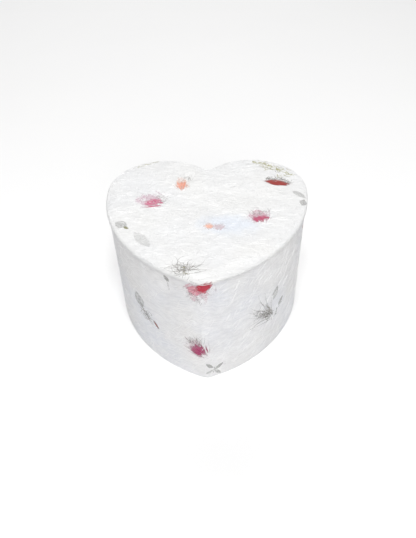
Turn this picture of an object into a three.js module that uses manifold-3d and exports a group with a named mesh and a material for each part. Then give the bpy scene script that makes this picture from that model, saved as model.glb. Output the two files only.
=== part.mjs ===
// A heart-shaped keepsake music box: a paper-covered board case with a hinged lid, a wind-up
// comb movement under a deck, a butterfly key under the base and a stop that the lid works.
// Millimetres, +Z up, the tip of the heart towards -Y. The case stands on z = 0.

import * as THREE from 'three';
import { mergeVertices } from 'three/addons/utils/BufferGeometryUtils.js';
import Module from 'manifold-3d';

const wasm = await Module();
wasm.setup();

// Outline of the lid, built from tangent arcs: the side arc meets the lobe at its widest point.
const boxWidth = 150;
const lobeRadius = 41.5;
const lobeX = boxWidth / 2 - lobeRadius;
const cleftRadius = 4.5;
const tipRadius = 10;
const tipReach = 102;
const tipDrop = tipReach - tipRadius;
const sideRadius = ((boxWidth / 2) ** 2 + tipDrop ** 2 - tipRadius ** 2) / (boxWidth - 2 * tipRadius);

// Hinges: the axis lies along X behind the two lobes.
const hingeReach = 43.7;
const hingeStop = 2.1;
const hingeHalf = 6;
const knuckleRadius = 1.3;
const hingePinRadius = 0.6;
const lobeY = (tipReach - hingeReach - hingeStop) / 2;
const hingeY = lobeY + hingeReach;
const hingeZ = 93.6;

// Heights of the case and the lid.
const seamZ = 94;
const lidGap = 0.2;
const lidZ = seamZ + lidGap;
const boxHeight = 99.6;
const baseZ = 16;
const baseTop = 19;
const deckZ = 51;
const deckTop = 53;

// Insets from the lid's outline, from the outside in.
const overhang = 1.2;
const paper = 0.6;
const glue = 0.1;
const board = 2.4;
const boardOut = overhang + paper + glue;
const boardIn = boardOut + board;
const liningOut = boardIn + glue;
const liningIn = liningOut + 1;

// Movement: the spring's axis is vertical, the cylinder's lies along X.
const springX = -4;
const springY = 6;
const bedZ = baseTop + 0.1;
const bedTop = bedZ + 2.5;
const cylinderZ = 38;
const crownTeeth = 28;
const crownModule = 0.8;
const crownRadius = crownTeeth * crownModule / 2;
const cylinderPinionTeeth = 14;
const crownPitchZ = cylinderZ - cylinderPinionTeeth * crownModule / 2;
const cylinderRadius = 6.3;
const cylinderX = 10.7;
const cylinderLength = 22;
const pinHeight = 0.55;
const combNotes = 18;
const fineModule = 0.5;
const cylinderWheelTeeth = 44;
const governorPinionTeeth = 10;
const governorWheelTeeth = 30;
const meshPlay = 0.1;
const governorY = springY + (cylinderWheelTeeth + governorPinionTeeth) * fineModule / 2 + meshPlay;
const wheelX = cylinderX + cylinderLength + 0.6;
const framePlateX = 36.2;
const wormRadius = 1.6;
const wormX = 43.7;
const wormY = governorY + governorWheelTeeth * fineModule / 2 + wormRadius + meshPlay;
const wormPitch = Math.PI * fineModule;
const flyRadius = 5.2;
const bladeZ = 45.1;
const bladeTop = 47;

// Stop work: a lever beside the fly and a rod that the lid holds down.
const leverY = wormY + 17.3;
const leverZ = 45.3;
const leverArm = 8.6;
const leverHalf = 0.6;
const rodRadius = 0.8;
const rodY = leverY + leverArm;
const rodFoot = leverZ + leverHalf + 0.3;
const liningZ = 92.4;

const X = new THREE.Vector3(1, 0, 0);
const Y = new THREE.Vector3(0, 1, 0);
const Z = new THREE.Vector3(0, 0, 1);

// ---- Solids ----

// One closed geometry with shared vertices, no flat triangles and its faces pointing out.
function weld(source) {
  const bare = source.clone();
  bare.deleteAttribute('normal');
  bare.deleteAttribute('uv');
  const geometry = mergeVertices(bare, 1e-4);
  const position = geometry.attributes.position;
  const index = geometry.index.array;
  const faces = [];
  let volume = 0;
  const a = new THREE.Vector3();
  const b = new THREE.Vector3();
  const c = new THREE.Vector3();
  for (let i = 0; i < index.length; i += 3) {
    const [p, q, r] = [index[i], index[i + 1], index[i + 2]];
    if (p === q || q === r || r === p) continue;
    faces.push([p, q, r]);
    a.fromBufferAttribute(position, p);
    b.fromBufferAttribute(position, q);
    c.fromBufferAttribute(position, r);
    volume += a.dot(b.cross(c));
  }
  const turned = volume < 0 ? faces.map(([p, q, r]) => [p, r, q]) : faces;
  geometry.setIndex(turned.flat());
  return geometry;
}

function toManifold(source) {
  const geometry = weld(source);
  const mesh = new wasm.Mesh({
    numProp: 3,
    vertProperties: new Float32Array(geometry.attributes.position.array),
    triVerts: new Uint32Array(geometry.index.array),
  });
  return new wasm.Manifold(mesh);
}

function fromManifold(solid) {
  const mesh = solid.getMesh();
  const geometry = new THREE.BufferGeometry();
  geometry.setAttribute('position', new THREE.BufferAttribute(new Float32Array(mesh.vertProperties), 3));
  geometry.setIndex(Array.from(mesh.triVerts));
  return geometry;
}

function join(...parts) {
  return fromManifold(parts.map(toManifold).reduce((sum, part) => sum.add(part)));
}

function cut(body, ...tools) {
  return fromManifold(tools.map(toManifold).reduce((rest, tool) => rest.subtract(tool), toManifold(body)));
}

// Turns a geometry drawn along Z so that it runs along X: its x becomes Y and its y becomes Z.
function alongX(geometry) {
  return geometry.applyMatrix4(new THREE.Matrix4().makeBasis(Y, Z, X));
}

function block(x0, x1, y0, y1, z0, z1) {
  const geometry = new THREE.BoxGeometry(x1 - x0, y1 - y0, z1 - z0);
  return geometry.translate((x0 + x1) / 2, (y0 + y1) / 2, (z0 + z1) / 2);
}

function rod(radius, z0, z1, sides = 20) {
  const geometry = new THREE.CylinderGeometry(radius, radius, z1 - z0, sides);
  return geometry.rotateX(Math.PI / 2).translate(0, 0, (z0 + z1) / 2);
}

function rodX(radius, x0, x1, y, z, sides = 20) {
  return alongX(rod(radius, x0, x1, sides)).translate(0, y, z);
}

// A turned piece: the profile lists [radius, height] and starts and ends on the axis, or closes.
function turned(profile, sides = 24) {
  const points = profile.map(([radius, height]) => new THREE.Vector2(radius, height));
  return new THREE.LatheGeometry(points, sides).rotateX(Math.PI / 2);
}

function prism(outline, z0, z1, holes = []) {
  const shape = new THREE.Shape(outline);
  shape.holes = holes;
  const geometry = new THREE.ExtrudeGeometry(shape, { depth: z1 - z0, bevelEnabled: false, curveSegments: 8 });
  return geometry.translate(0, 0, z0);
}

// A flat plate across X: the outline lists [y, z].
function plateX(outline, x0, x1) {
  return alongX(prism(outline.map(([y, z]) => new THREE.Vector2(y, z)), x0, x1));
}

// ---- Heart outline ----

const cleftY = lobeY + Math.sqrt((cleftRadius + lobeRadius) ** 2 - lobeX ** 2);
const lobeCentre = new THREE.Vector2(lobeX, lobeY);
const cleftCentre = new THREE.Vector2(0, cleftY);
const tipCentre = new THREE.Vector2(0, lobeY - tipDrop);
const sideCentre = new THREE.Vector2(boxWidth / 2 - sideRadius, lobeY);

function arc(centre, radius, from, to, steps) {
  const points = [];
  for (let i = 0; i < steps; i++) {
    const angle = from + (to - from) * i / steps;
    points.push(new THREE.Vector2(centre.x + radius * Math.cos(angle), centre.y + radius * Math.sin(angle)));
  }
  return points;
}

// The heart's outline, drawn in by the inset, anticlockwise from the tip.
function heart(inset) {
  const fromTip = tipCentre.clone().sub(sideCentre).angle() - 2 * Math.PI;
  const toCleft = cleftCentre.clone().sub(lobeCentre).angle();
  const right = [
    ...arc(tipCentre, tipRadius - inset, -Math.PI / 2, fromTip, 2),
    ...arc(sideCentre, sideRadius - inset, fromTip, 0, 9),
    ...arc(lobeCentre, lobeRadius - inset, 0, Math.PI / 2, 8),
    ...arc(lobeCentre, lobeRadius - inset, Math.PI / 2, toCleft, 4),
    ...arc(cleftCentre, cleftRadius + inset, toCleft - Math.PI, -Math.PI / 2, 3),
    new THREE.Vector2(0, cleftY - cleftRadius - inset),
  ];
  const left = right.slice(1, -1).reverse().map((point) => new THREE.Vector2(-point.x, point.y));
  return [...right, ...left];
}

function heartBoard(inset, z0, z1) {
  return prism(heart(inset), z0, z1);
}

// Rings of the outline, one for each [inset, z], joined by a band of faces between neighbours.
function heartBands(profile, closed) {
  const rings = profile.map(([inset, z]) => heart(inset).map((point) => [point.x, point.y, z]));
  const count = rings[0].length;
  const faces = [];
  const bands = closed ? rings.length : rings.length - 1;
  for (let row = 0; row < bands; row++) {
    const next = (row + 1) % rings.length;
    for (let i = 0; i < count; i++) {
      const j = (i + 1) % count;
      faces.push([row * count + i, next * count + i, row * count + j]);
      faces.push([row * count + j, next * count + i, next * count + j]);
    }
  }
  return { rings, faces, count };
}

function fromRings(rings, faces) {
  const geometry = new THREE.BufferGeometry();
  geometry.setAttribute('position', new THREE.Float32BufferAttribute(rings.flat(2), 3));
  geometry.setIndex(faces.flat());
  return weld(geometry);
}

// A closed ring that follows the heart: the profile closes on itself.
function heartRing(profile) {
  const { rings, faces } = heartBands(profile, true);
  return fromRings(rings, faces);
}

// A lid or pad: the first and the last ring of the profile are filled across.
function heartCap(profile) {
  const { rings, faces, count } = heartBands(profile, false);
  const last = (rings.length - 1) * count;
  for (const [offset, flip] of [[0, false], [last, true]]) {
    const outline = rings[offset / count].map(([x, y]) => new THREE.Vector2(x, y));
    for (const [p, q, r] of THREE.ShapeUtils.triangulateShape(outline, [])) {
      faces.push(flip ? [offset + p, offset + r, offset + q] : [offset + p, offset + q, offset + r]);
    }
  }
  return fromRings(rings, faces);
}

// ---- Gears ----

function involute(base, radius) {
  const ratio = base / radius;
  return Math.sqrt(1 / ratio ** 2 - 1) - Math.acos(ratio);
}

// A spur gear's outline with one tooth centred on the angle given.
function gearOutline(teeth, module, { fill = 0.84, addendum = 0.85, dedendum = 1.2, flank = 3, at = 0 }) {
  const pitch = teeth * module / 2;
  const base = pitch * Math.cos(Math.PI / 9);
  const root = pitch - dedendum * module;
  const tip = pitch + addendum * module;
  const start = Math.max(base, root);
  const pitchHalf = fill * Math.PI / (2 * teeth);
  const side = [[root, pitchHalf + involute(base, pitch) - involute(base, start)]];
  for (let i = start > root + 0.02 ? 0 : 1; i <= flank; i++) {
    const radius = start + (tip - start) * i / flank;
    side.push([radius, pitchHalf + involute(base, pitch) - involute(base, radius)]);
  }
  const points = [];
  for (let tooth = 0; tooth < teeth; tooth++) {
    const middle = at + 2 * Math.PI * tooth / teeth;
    for (const [radius, half] of side) points.push([radius, middle - half]);
    for (const [radius, half] of [...side].reverse()) points.push([radius, middle + half]);
  }
  return points.map(([radius, angle]) => new THREE.Vector2(radius * Math.cos(angle), radius * Math.sin(angle)));
}

function bore(radius, x = 0, y = 0) {
  return new THREE.Path().absarc(x, y, radius, 0, 2 * Math.PI, true);
}

// ---- Case ----

function wallBoard() {
  return heartRing([[boardOut, 0], [boardOut, seamZ - 0.7], [boardIn, seamZ - 0.7], [boardIn, 0]]);
}

// The cover goes up the outside, over the rim and a little way down the inside.
function wallPaper() {
  const turnIn = liningOut + paper;
  const turnEnd = seamZ - 6;
  return heartRing([
    [overhang, 0],
    [overhang, seamZ - 0.4],
    [overhang + 0.4, seamZ],
    [turnIn - 0.4, seamZ],
    [turnIn, seamZ - 0.4],
    [turnIn, turnEnd],
    [liningOut, turnEnd],
    [liningOut, seamZ - paper],
    [overhang + paper, seamZ - paper],
    [overhang + paper, 0],
  ]);
}

function wallLining() {
  const top = seamZ - 6.3;
  return heartRing([[liningOut, deckTop + 0.1], [liningOut, top], [liningIn, top], [liningIn, deckTop + 0.1]]);
}

function deckLedge() {
  return heartRing([[liningOut, 47.5], [liningOut, deckZ - 0.1], [7.5, deckZ - 0.1], [7.5, 47.5]]);
}

function deckPad() {
  const foot = deckTop + 0.2;
  const edge = liningIn + 0.3;
  return heartCap([[edge + 1, foot + 2.2], [edge, foot + 1.4], [edge, foot], [edge + 0.6, foot]]);
}

function lidPaper() {
  const inner = lidZ + paper;
  return heartCap([
    [7, boxHeight],
    [1.8, boxHeight - 0.15],
    [0.5, boxHeight - 0.9],
    [0, boxHeight - 2],
    [0, lidZ],
    [7.4, lidZ],
    [7.4, inner],
    [paper, inner],
    [paper, boxHeight - 2.2],
    [1, boxHeight - 1.3],
    [2, boxHeight - paper - 0.15],
    [7, boxHeight - paper],
  ]);
}

function lidBoard() {
  const under = lidZ + paper + glue;
  return heartCap([
    [7, boxHeight - paper - 0.2],
    [2.1, boxHeight - paper - 0.35],
    [1.2, boxHeight - 1.6],
    [paper + glue, boxHeight - 2.4],
    [paper + glue, under],
    [7, under],
  ]);
}

function lidLining() {
  return heartCap([[6.4, lidZ - 0.1], [6.4, liningZ + 0.8], [7.2, liningZ]]);
}

// ---- Hinges ----

function knuckle(x0, x1) {
  return rodX(knuckleRadius, x0, x1, hingeY, hingeZ, 12);
}

function hingeBore() {
  return rodX(hingePinRadius + 0.1, -hingeHalf - 1, hingeHalf + 1, hingeY, hingeZ, 12);
}

const bodyLeafY = lobeY + lobeRadius - overhang + 0.15;
const lidLeafY = lobeY + lobeRadius + 0.1;
const bodyNailZ = 86.5;
const lidNailZ = 95.7;
const nailX = 3.6;
const nailHole = 0.5;

// Plate on the wall, a web and a knuckle at each end, and a heel that stops the lid past upright.
function bodyLeaf() {
  const plate = block(-hingeHalf, hingeHalf, bodyLeafY, bodyLeafY + 0.7, 83.5, hingeZ - 0.4);
  const web = [
    [bodyLeafY + 0.3, hingeZ - 0.4],
    [bodyLeafY + 0.3, hingeZ - 1.9],
    [hingeY - 0.3, hingeZ - knuckleRadius + 0.1],
    [hingeY - 0.3, hingeZ],
  ];
  const pieces = [plate];
  for (const side of [-1, 1]) {
    const [from, to] = side < 0 ? [-hingeHalf, -2.1] : [2.1, hingeHalf];
    const [heelFrom, heelTo] = side < 0 ? [-hingeHalf, -4.9] : [4.9, hingeHalf];
    pieces.push(knuckle(from, to));
    pieces.push(plateX(web, from, to));
    pieces.push(block(heelFrom, heelTo, hingeY, hingeY + hingeStop, hingeZ - 0.6, hingeZ + 0.95));
  }
  const nailHoles = [-nailX, nailX].map((x) => nailCutter(x, bodyLeafY - 1, bodyNailZ));
  return cut(join(...pieces), hingeBore(), ...nailHoles);
}

function lidLeaf() {
  const plate = block(-hingeHalf, hingeHalf, lidLeafY, lidLeafY + 0.6, lidZ + 0.2, hingeZ + 3.2);
  const web = [
    [lidLeafY + 0.3, lidZ + 0.2],
    [hingeY - 0.7, hingeZ - 0.2],
    [hingeY + 0.1, hingeZ + knuckleRadius - 0.1],
    [lidLeafY + 0.3, lidZ + 1.6],
  ];
  const nailHoles = [-nailX, nailX].map((x) => nailCutter(x, lidLeafY - 1, lidNailZ));
  return cut(join(plate, knuckle(-1.9, 1.9), plateX(web, -1.9, 1.9)), hingeBore(), ...nailHoles);
}

// Nails are driven forwards, so each is drawn along Z with its head up and laid along Y.
function nail(length) {
  const profile = [[0, -length], [0.3, -length + 0.4], [0.35, 0.02], [0.75, 0.02], [0.7, 0.25], [0, 0.4]];
  return turned(profile, 8).rotateX(-Math.PI / 2);
}

function nailCutter(x, y, z) {
  return rod(nailHole, 0, 4, 6).rotateX(-Math.PI / 2).translate(x, y, z);
}

// Pilot holes for the nails of both hinges, from the back to the depth given.
function pilotHoles(front, z) {
  const holes = [];
  for (const side of [-1, 1]) {
    for (const x of [-nailX, nailX]) holes.push(nailCutter(side * lobeX + x, front, z));
  }
  return holes;
}

// ---- Movement ----

const screwPlaces = [[-13, -9], [-13, 28], [34, -14]];
const combScrews = [14.2, 29.2];
const combRoot = -12;
const combBack = -19.5;
const combZ = cylinderZ - 0.5;

function placedRod(radius, [x, y], z0, z1, sides = 12) {
  return rod(radius, z0, z1, sides).translate(x, y, 0);
}

function baseBoard() {
  const holes = screwPlaces.map((place) => placedRod(1.5, place, baseZ - 1, baseTop + 1));
  const keyHole = placedRod(4.5, [springX, springY], baseZ - 1, baseTop + 1, 24);
  const footHoles = bracketScrews.map((place) => placedRod(0.85, place, baseTop - 2.6, baseTop + 1, 8));
  return cut(heartBoard(liningOut, baseZ, baseTop), keyHole, ...holes, ...footHoles);
}

function deckBoard() {
  return cut(heartBoard(liningOut, deckZ, deckTop), placedRod(2.1, [wormX, rodY], deckZ - 1, deckTop + 1, 16));
}

function deckPadCut() {
  return cut(deckPad(), placedRod(2.3, [wormX, rodY], deckTop, deckTop + 4, 16));
}

// One casting: the plate, the comb's pedestal and the cylinder's left bearing.
function bedplate() {
  const outline = new THREE.Shape();
  outline.moveTo(-17, -12);
  outline.lineTo(-10, -20);
  outline.lineTo(39, -20);
  outline.lineTo(39, 34);
  outline.lineTo(-10, 34);
  outline.lineTo(-17, 26);
  const plate = prism(outline.getPoints(), bedZ, bedTop);
  const pedestal = block(cylinderX, cylinderX + cylinderLength, combBack, combRoot - 1.5, bedTop - 0.5, combZ - 0.1);
  const post = plateX(
    [[springY - 4, bedTop - 0.5], [springY + 4, bedTop - 0.5], [springY + 2.4, cylinderZ + 2.4],
      [springY - 2.4, cylinderZ + 2.4]],
    8.7,
    10.1,
  );
  const bearing = rodX(1.05, 8, 11, springY, cylinderZ, 16);
  const arborHole = placedRod(2.2, [springX, springY], bedZ - 1, bedTop + 1);
  const screwHoles = screwPlaces.map((place) => placedRod(1.35, place, bedZ - 1, bedTop + 1));
  const combHoles = combScrews.map((x) => placedRod(1, [x, combMiddle], combZ - 6, combZ + 1));
  return cut(join(plate, pedestal, post), bearing, arborHole, ...screwHoles, ...combHoles);
}

const combMiddle = (combBack + combRoot - 1.5) / 2;

function springHousing() {
  const foot = bedTop + 0.1;
  const top = foot + 8.4;
  const profile = [[11.1, foot], [11.9, foot], [11.9, top - 0.4], [11.5, top], [2.3, top], [2.3, top - 0.9],
    [11.1, top - 0.9], [11.1, foot]];
  return turned(profile, 32).translate(springX, springY, 0);
}

// The ribbon lies coiled between the arbor and the drum.
function mainspring() {
  const turns = 6;
  const steps = turns * 12;
  const line = [];
  for (let i = 0; i <= steps; i++) {
    const angle = 2 * Math.PI * turns * i / steps;
    const radius = 3.2 + 7.4 * i / steps;
    line.push([radius, angle]);
  }
  const half = 0.13;
  const outer = line.map(([radius, angle]) => polar(radius + half, angle));
  const inner = line.map(([radius, angle]) => polar(radius - half, angle)).reverse();
  return prism([...outer, ...inner], bedTop + 1, bedTop + 6.6).translate(springX, springY, 0);
}

function polar(radius, angle) {
  return new THREE.Vector2(radius * Math.cos(angle), radius * Math.sin(angle));
}

function windingArbor() {
  const profile = [[0, 5], [1.7, 5], [1.9, 5.4], [1.9, 34.2], [2.6, 34.2], [2.6, 35], [1.6, 35.6], [0, 35.6]];
  return turned(profile, 16).translate(springX, springY, 0);
}

// Butterfly key: two pierced ears on a hub.
function windingKey() {
  const ears = new THREE.Shape();
  ears.absellipse(0, 0, 13.5, 5.2, 0, 2 * Math.PI, false, 0);
  const left = new THREE.Path().absellipse(-7.6, 0, 3.4, 2.9, 0, 2 * Math.PI, true, 0);
  const right = new THREE.Path().absellipse(7.6, 0, 3.4, 2.9, 0, 2 * Math.PI, true, 0);
  ears.holes = [left, right];
  const plate = new THREE.ExtrudeGeometry(ears, { depth: 1.8, bevelEnabled: false, curveSegments: 9 });
  plate.translate(0, 0, -0.9).rotateX(Math.PI / 2).translate(0, 0, 7.6);
  const hub = turned([[0, 3.4], [2.4, 3.4], [3.2, 4.6], [3.2, 12.2], [2.8, 13], [0, 13]], 20);
  return cut(join(plate, hub), rod(2, 4.6, 15, 16)).translate(springX, springY, 0);
}

function keyBush() {
  const profile = [[2.6, baseZ - 1], [6.2, baseZ - 1], [6.2, baseZ - 0.1], [4.4, baseZ - 0.1], [4.4, baseTop - 0.2],
    [2.6, baseTop - 0.2], [2.6, baseZ - 1]];
  return turned(profile, 16).translate(springX, springY, 0);
}

// Face wheel: a disc with upright teeth round its edge, one of them towards +X.
function greatWheel() {
  const face = crownPitchZ - 1;
  const disc = turned([[2, face - 0.9], [12, face - 0.9], [12, face], [4.2, face], [4.2, face + 1.2], [2, face + 1.2],
    [2, face - 0.9]], 28);
  const half = 0.2 * Math.PI * crownModule;
  const slope = Math.tan(Math.PI / 9);
  const outline = [
    [-half - 1.2 * slope, face - 0.2],
    [half + 1.2 * slope, face - 0.2],
    [half - 0.7 * slope, crownPitchZ + 0.7],
    [-half + 0.7 * slope, crownPitchZ + 0.7],
  ];
  const teeth = [];
  for (let i = 0; i < crownTeeth; i++) {
    const tooth = plateX(outline, crownRadius - 1.2, crownRadius + 0.75);
    teeth.push(tooth.rotateZ(2 * Math.PI * i / crownTeeth));
  }
  return join(disc, ...teeth).translate(springX, springY, 0);
}

function helix(radius, wire, turns, rise, steps, sides) {
  const points = [];
  for (let i = 0; i <= turns * steps; i++) {
    const angle = 2 * Math.PI * i / steps;
    points.push(new THREE.Vector3(radius * Math.cos(angle), radius * Math.sin(angle), rise * i / steps));
  }
  const section = new THREE.Shape(new THREE.EllipseCurve(0, 0, wire, wire).getPoints(sides).slice(0, -1));
  const extrudePath = new THREE.CatmullRomCurve3(points);
  return new THREE.ExtrudeGeometry(section, { steps: turns * steps, bevelEnabled: false, extrudePath });
}

function clutchSpring() {
  return helix(3.1, 0.25, 2, 0.6, 12, 5).translate(springX, springY, crownPitchZ + 0.6);
}

function cylinderShaft() {
  return rodX(0.95, 5.4, 38, springY, cylinderZ, 16);
}

function gearX(teeth, module, options, boreRadius, x0, x1, y, z) {
  return alongX(prism(gearOutline(teeth, module, options), x0, x1, [bore(boreRadius)])).translate(0, y, z);
}

// Its gap faces down, where the great wheel's tooth stands.
function cylinderPinion() {
  const middle = springX + crownRadius;
  const options = { at: -Math.PI / 2 + Math.PI / cylinderPinionTeeth };
  return gearX(cylinderPinionTeeth, crownModule, options, 1.05, middle - 1, middle + 1, springY, cylinderZ);
}

function pinnedCylinder() {
  const shell = turned([[1.05, 0], [cylinderRadius, 0], [cylinderRadius, cylinderLength],
    [cylinderRadius - 1, cylinderLength], [cylinderRadius - 1, 1.2], [1.05, 1.2], [1.05, 0]], 36);
  const pinsPerNote = 2;
  const golden = (Math.sqrt(5) - 1) / 2;
  const pins = [];
  for (let note = 0; note < combNotes; note++) {
    for (let k = 0; k < pinsPerNote; k++) {
      const pin = block(cylinderRadius - 0.5, cylinderRadius + pinHeight, -0.17, 0.17, -0.17, 0.17);
      pin.rotateZ(2 * Math.PI * ((k + (note * golden) % 1) / pinsPerNote));
      pins.push(pin.translate(0, 0, noteX(note) - cylinderX));
    }
  }
  return alongX(join(shell, ...pins)).translate(cylinderX, springY, cylinderZ);
}

function noteX(note) {
  return cylinderX + 1.4 + note * (cylinderLength - 2.8) / (combNotes - 1);
}

function cylinderWheel() {
  const options = { fill: 0.8, addendum: 0.8, dedendum: 1.3, flank: 2, at: 0 };
  return gearX(cylinderWheelTeeth, fineModule, options, 1.05, wheelX, wheelX + 1.6, springY, cylinderZ);
}

// The comb is a toothed steel plate: the slits grow shorter from bass to treble.
function comb() {
  const tip = springY - cylinderRadius - pinHeight - 0.2;
  const half = 0.4;
  const outline = [new THREE.Vector2(cylinderX, combBack), new THREE.Vector2(cylinderX + cylinderLength, combBack)];
  outline.push(new THREE.Vector2(cylinderX + cylinderLength, combRoot));
  for (let note = combNotes - 1; note >= 0; note--) {
    const root = combRoot + 3 * note / combNotes;
    const x = noteX(note);
    outline.push(new THREE.Vector2(x + half, root));
    outline.push(new THREE.Vector2(x + half, tip));
    outline.push(new THREE.Vector2(x - half, tip));
    outline.push(new THREE.Vector2(x - half, root));
  }
  outline.push(new THREE.Vector2(cylinderX, combRoot));
  return prism(outline, combZ, combZ + 1, combScrews.map((x) => bore(1, x, combMiddle)));
}

// Cheese-head screw with a slot, its seat at z = 0 and its shank below.
function screw(headRadius, headHeight, shankRadius, length) {
  const profile = [[0, -length], [shankRadius * 0.7, -length], [shankRadius, -length + 0.5], [shankRadius, 0],
    [headRadius, 0], [headRadius, headHeight * 0.7], [headRadius * 0.85, headHeight], [0, headHeight]];
  const slot = block(-headRadius - 1, headRadius + 1, -0.25, 0.25, headHeight * 0.55, headHeight + 1);
  return cut(turned(profile, 12), slot);
}

// Upright plate, a small ear for the shaft's far end and two arms that hold the worm.
function governorFrame() {
  const plate = plateX([[1.5, bedTop + 0.1], [32, bedTop + 0.1], [32, 48.6], [25, 48.6], [22.5, 43], [9, 42],
    [2.5, 41.5]], framePlateX, framePlateX + 1);
  const foot = block(30.4, framePlateX + 0.5, governorY - 3.5, governorY + 3.5, bedTop + 0.1, bedTop + 1.1);
  const ear = plateX([[governorY - 2, bedTop + 0.6], [governorY + 2, bedTop + 0.6], [governorY + 1.8, 40.4],
    [governorY - 1.8, 40.4]], 30.4, 31.4);
  const arms = [29, 47.4].map((z) => block(framePlateX + 0.5, wormX + 2.4, wormY - 2.2, wormY + 2.2, z, z + 1.2));
  const holes = [
    rodX(1.05, 36, 38, springY, cylinderZ, 16),
    rodX(0.8, 30, 38, governorY, cylinderZ, 16),
    placedRod(0.7, [wormX, wormY], 28, 49),
  ];
  return cut(join(plate, foot, ear, ...arms), ...holes);
}

function governorShaft() {
  const options = { fill: 0.78, addendum: 0.8, dedendum: 1.2, flank: 3, at: Math.PI + Math.PI / governorPinionTeeth };
  const outline = gearOutline(governorPinionTeeth, fineModule, options);
  const pinion = alongX(prism(outline, wheelX - 0.2, wheelX + 1.8)).translate(0, governorY, cylinderZ);
  const spindle = rodX(0.7, 30.2, wormX + 1.2, governorY, cylinderZ, 12);
  return join(pinion, spindle);
}

function governorWheel() {
  const options = { fill: 0.74, addendum: 0.75, dedendum: 1.2, flank: 2, at: 0 };
  return gearX(governorWheelTeeth, fineModule, options, 0.8, wormX - 0.6, wormX + 0.6, governorY, cylinderZ);
}

// Right-hand thread on a slim spindle; a gap faces the wheel's tooth at the cylinder's height.
function worm() {
  const spindle = turned([[0, 28.4], [0.6, 28.7], [0.6, 30.8], [1.05, 31.1], [1.05, 44], [0.6, 44.2], [0.6, 48.9],
    [0, 49.1]], 12);
  const turns = 4.5;
  const steps = 10;
  const section = [[0.85, -0.5], [2.0, -0.2], [2.0, 0.2], [0.85, 0.5]];
  const positions = [];
  const faces = [];
  for (let i = 0; i <= turns * steps; i++) {
    const turn = i / steps - turns / 2;
    const angle = -Math.PI / 2 + 2 * Math.PI * turn;
    for (const [radius, offset] of section) {
      const z = cylinderZ + wormPitch * (turn + 0.5) + offset;
      positions.push(radius * Math.cos(angle), radius * Math.sin(angle), z);
    }
    if (i === 0) continue;
    for (let k = 0; k < 4; k++) {
      const a = (i - 1) * 4 + k;
      const b = (i - 1) * 4 + (k + 1) % 4;
      faces.push(a, a + 4, b, b, a + 4, b + 4);
    }
  }
  const end = turns * steps * 4;
  faces.push(0, 1, 2, 0, 2, 3, end, end + 2, end + 1, end, end + 3, end + 2);
  const thread = new THREE.BufferGeometry();
  thread.setAttribute('position', new THREE.Float32BufferAttribute(positions, 3));
  thread.setIndex(faces);
  return join(spindle, thread).translate(wormX, wormY, 0);
}

function fly() {
  const hub = rod(1.5, 44.3, 46.5, 16);
  const blades = block(-flyRadius + 0.05, flyRadius - 0.05, -0.25, 0.25, bladeZ, bladeTop);
  return cut(join(hub, blades), rod(0.7, 43, 48, 12)).translate(wormX, wormY, 0);
}

// ---- Stop work ----

const bracketX = wormX + 1.6;
const bracketScrews = [[wormX - 2, leverY - 4.2], [wormX - 2, leverY + 4.2]];

// Flat lever: the front arm ends beside the fly and the rear arm lies under the rod.
function stopLever() {
  const front = wormY + flyRadius + 0.35;
  const bar = block(wormX - 0.4, wormX + 0.4, front, rodY + 1.8, leverZ - leverHalf, leverZ + leverHalf);
  const boss = rodX(1.9, wormX - 0.4, wormX + 0.4, leverY, leverZ, 20);
  return cut(join(bar, boss), rodX(0.8, wormX - 2, wormX + 2, leverY, leverZ, 16));
}

function leverPin() {
  const profile = [[0, 0], [1.1, 0], [1.1, 0.5], [0.7, 0.5], [0.7, 3.9], [0, 3.9]];
  return alongX(turned(profile, 12)).translate(wormX - 1.2, leverY, leverZ);
}

function leverBracket() {
  const foot = block(wormX - 4, bracketX + 0.8, leverY - 6, leverY + 6, baseTop + 0.1, baseTop + 0.9);
  const cheek = plateX([[leverY - 6, baseTop + 0.4], [leverY + 6, baseTop + 0.4], [leverY + 2.2, leverZ + 2.2],
    [leverY - 2.2, leverZ + 2.2]], bracketX, bracketX + 0.8);
  const pinHole = rodX(0.75, bracketX - 1, bracketX + 2, leverY, leverZ, 12);
  const footHoles = bracketScrews.map((place) => placedRod(0.85, place, baseTop - 1, baseTop + 2, 8));
  return cut(join(foot, cheek), pinHole, ...footHoles);
}

function stopRod() {
  const top = liningZ - 0.3;
  const profile = [[0, rodFoot], [rodRadius - 0.2, rodFoot], [rodRadius, rodFoot + 0.3], [rodRadius, top - 2.4],
    [1.7, top - 2], [1.7, top - 0.7], [1, top], [0, top]];
  return turned(profile, 12).translate(wormX, rodY, 0);
}

function rodGuide() {
  const foot = deckTop + 0.1;
  const profile = [[1, deckZ + 0.2], [1.9, deckZ + 0.2], [1.9, foot + 2.9], [3.4, foot + 3], [3.4, foot + 3.8],
    [1.9, foot + 4.4], [1.7, 84], [1, 84], [1, deckZ + 0.2]];
  return turned(profile, 14).translate(wormX, rodY, 0);
}

// ---- Finishes ----

const finish = {
  floralPaper: new THREE.MeshStandardMaterial({ color: 0xeeecea, roughness: 0.85, metalness: 0 }),
  greyBoard: new THREE.MeshStandardMaterial({ color: 0xa8a39a, roughness: 0.95, metalness: 0 }),
  velvet: new THREE.MeshStandardMaterial({ color: 0xe9e2d8, roughness: 1, metalness: 0 }),
  brass: new THREE.MeshStandardMaterial({ color: 0xc9a24a, roughness: 0.35, metalness: 1 }),
  steel: new THREE.MeshStandardMaterial({ color: 0xb9bcc0, roughness: 0.3, metalness: 1 }),
  casting: new THREE.MeshStandardMaterial({ color: 0xc6b27c, roughness: 0.5, metalness: 1 }),
  spring: new THREE.MeshStandardMaterial({ color: 0x5f666e, roughness: 0.4, metalness: 1 }),
  nylon: new THREE.MeshStandardMaterial({ color: 0xf2f0ea, roughness: 0.5, metalness: 0 }),
  rubber: new THREE.MeshStandardMaterial({ color: 0x2b2b2d, roughness: 0.9, metalness: 0 }),
};

// ---- Assembly ----

const musicBox = new THREE.Group();

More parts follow.
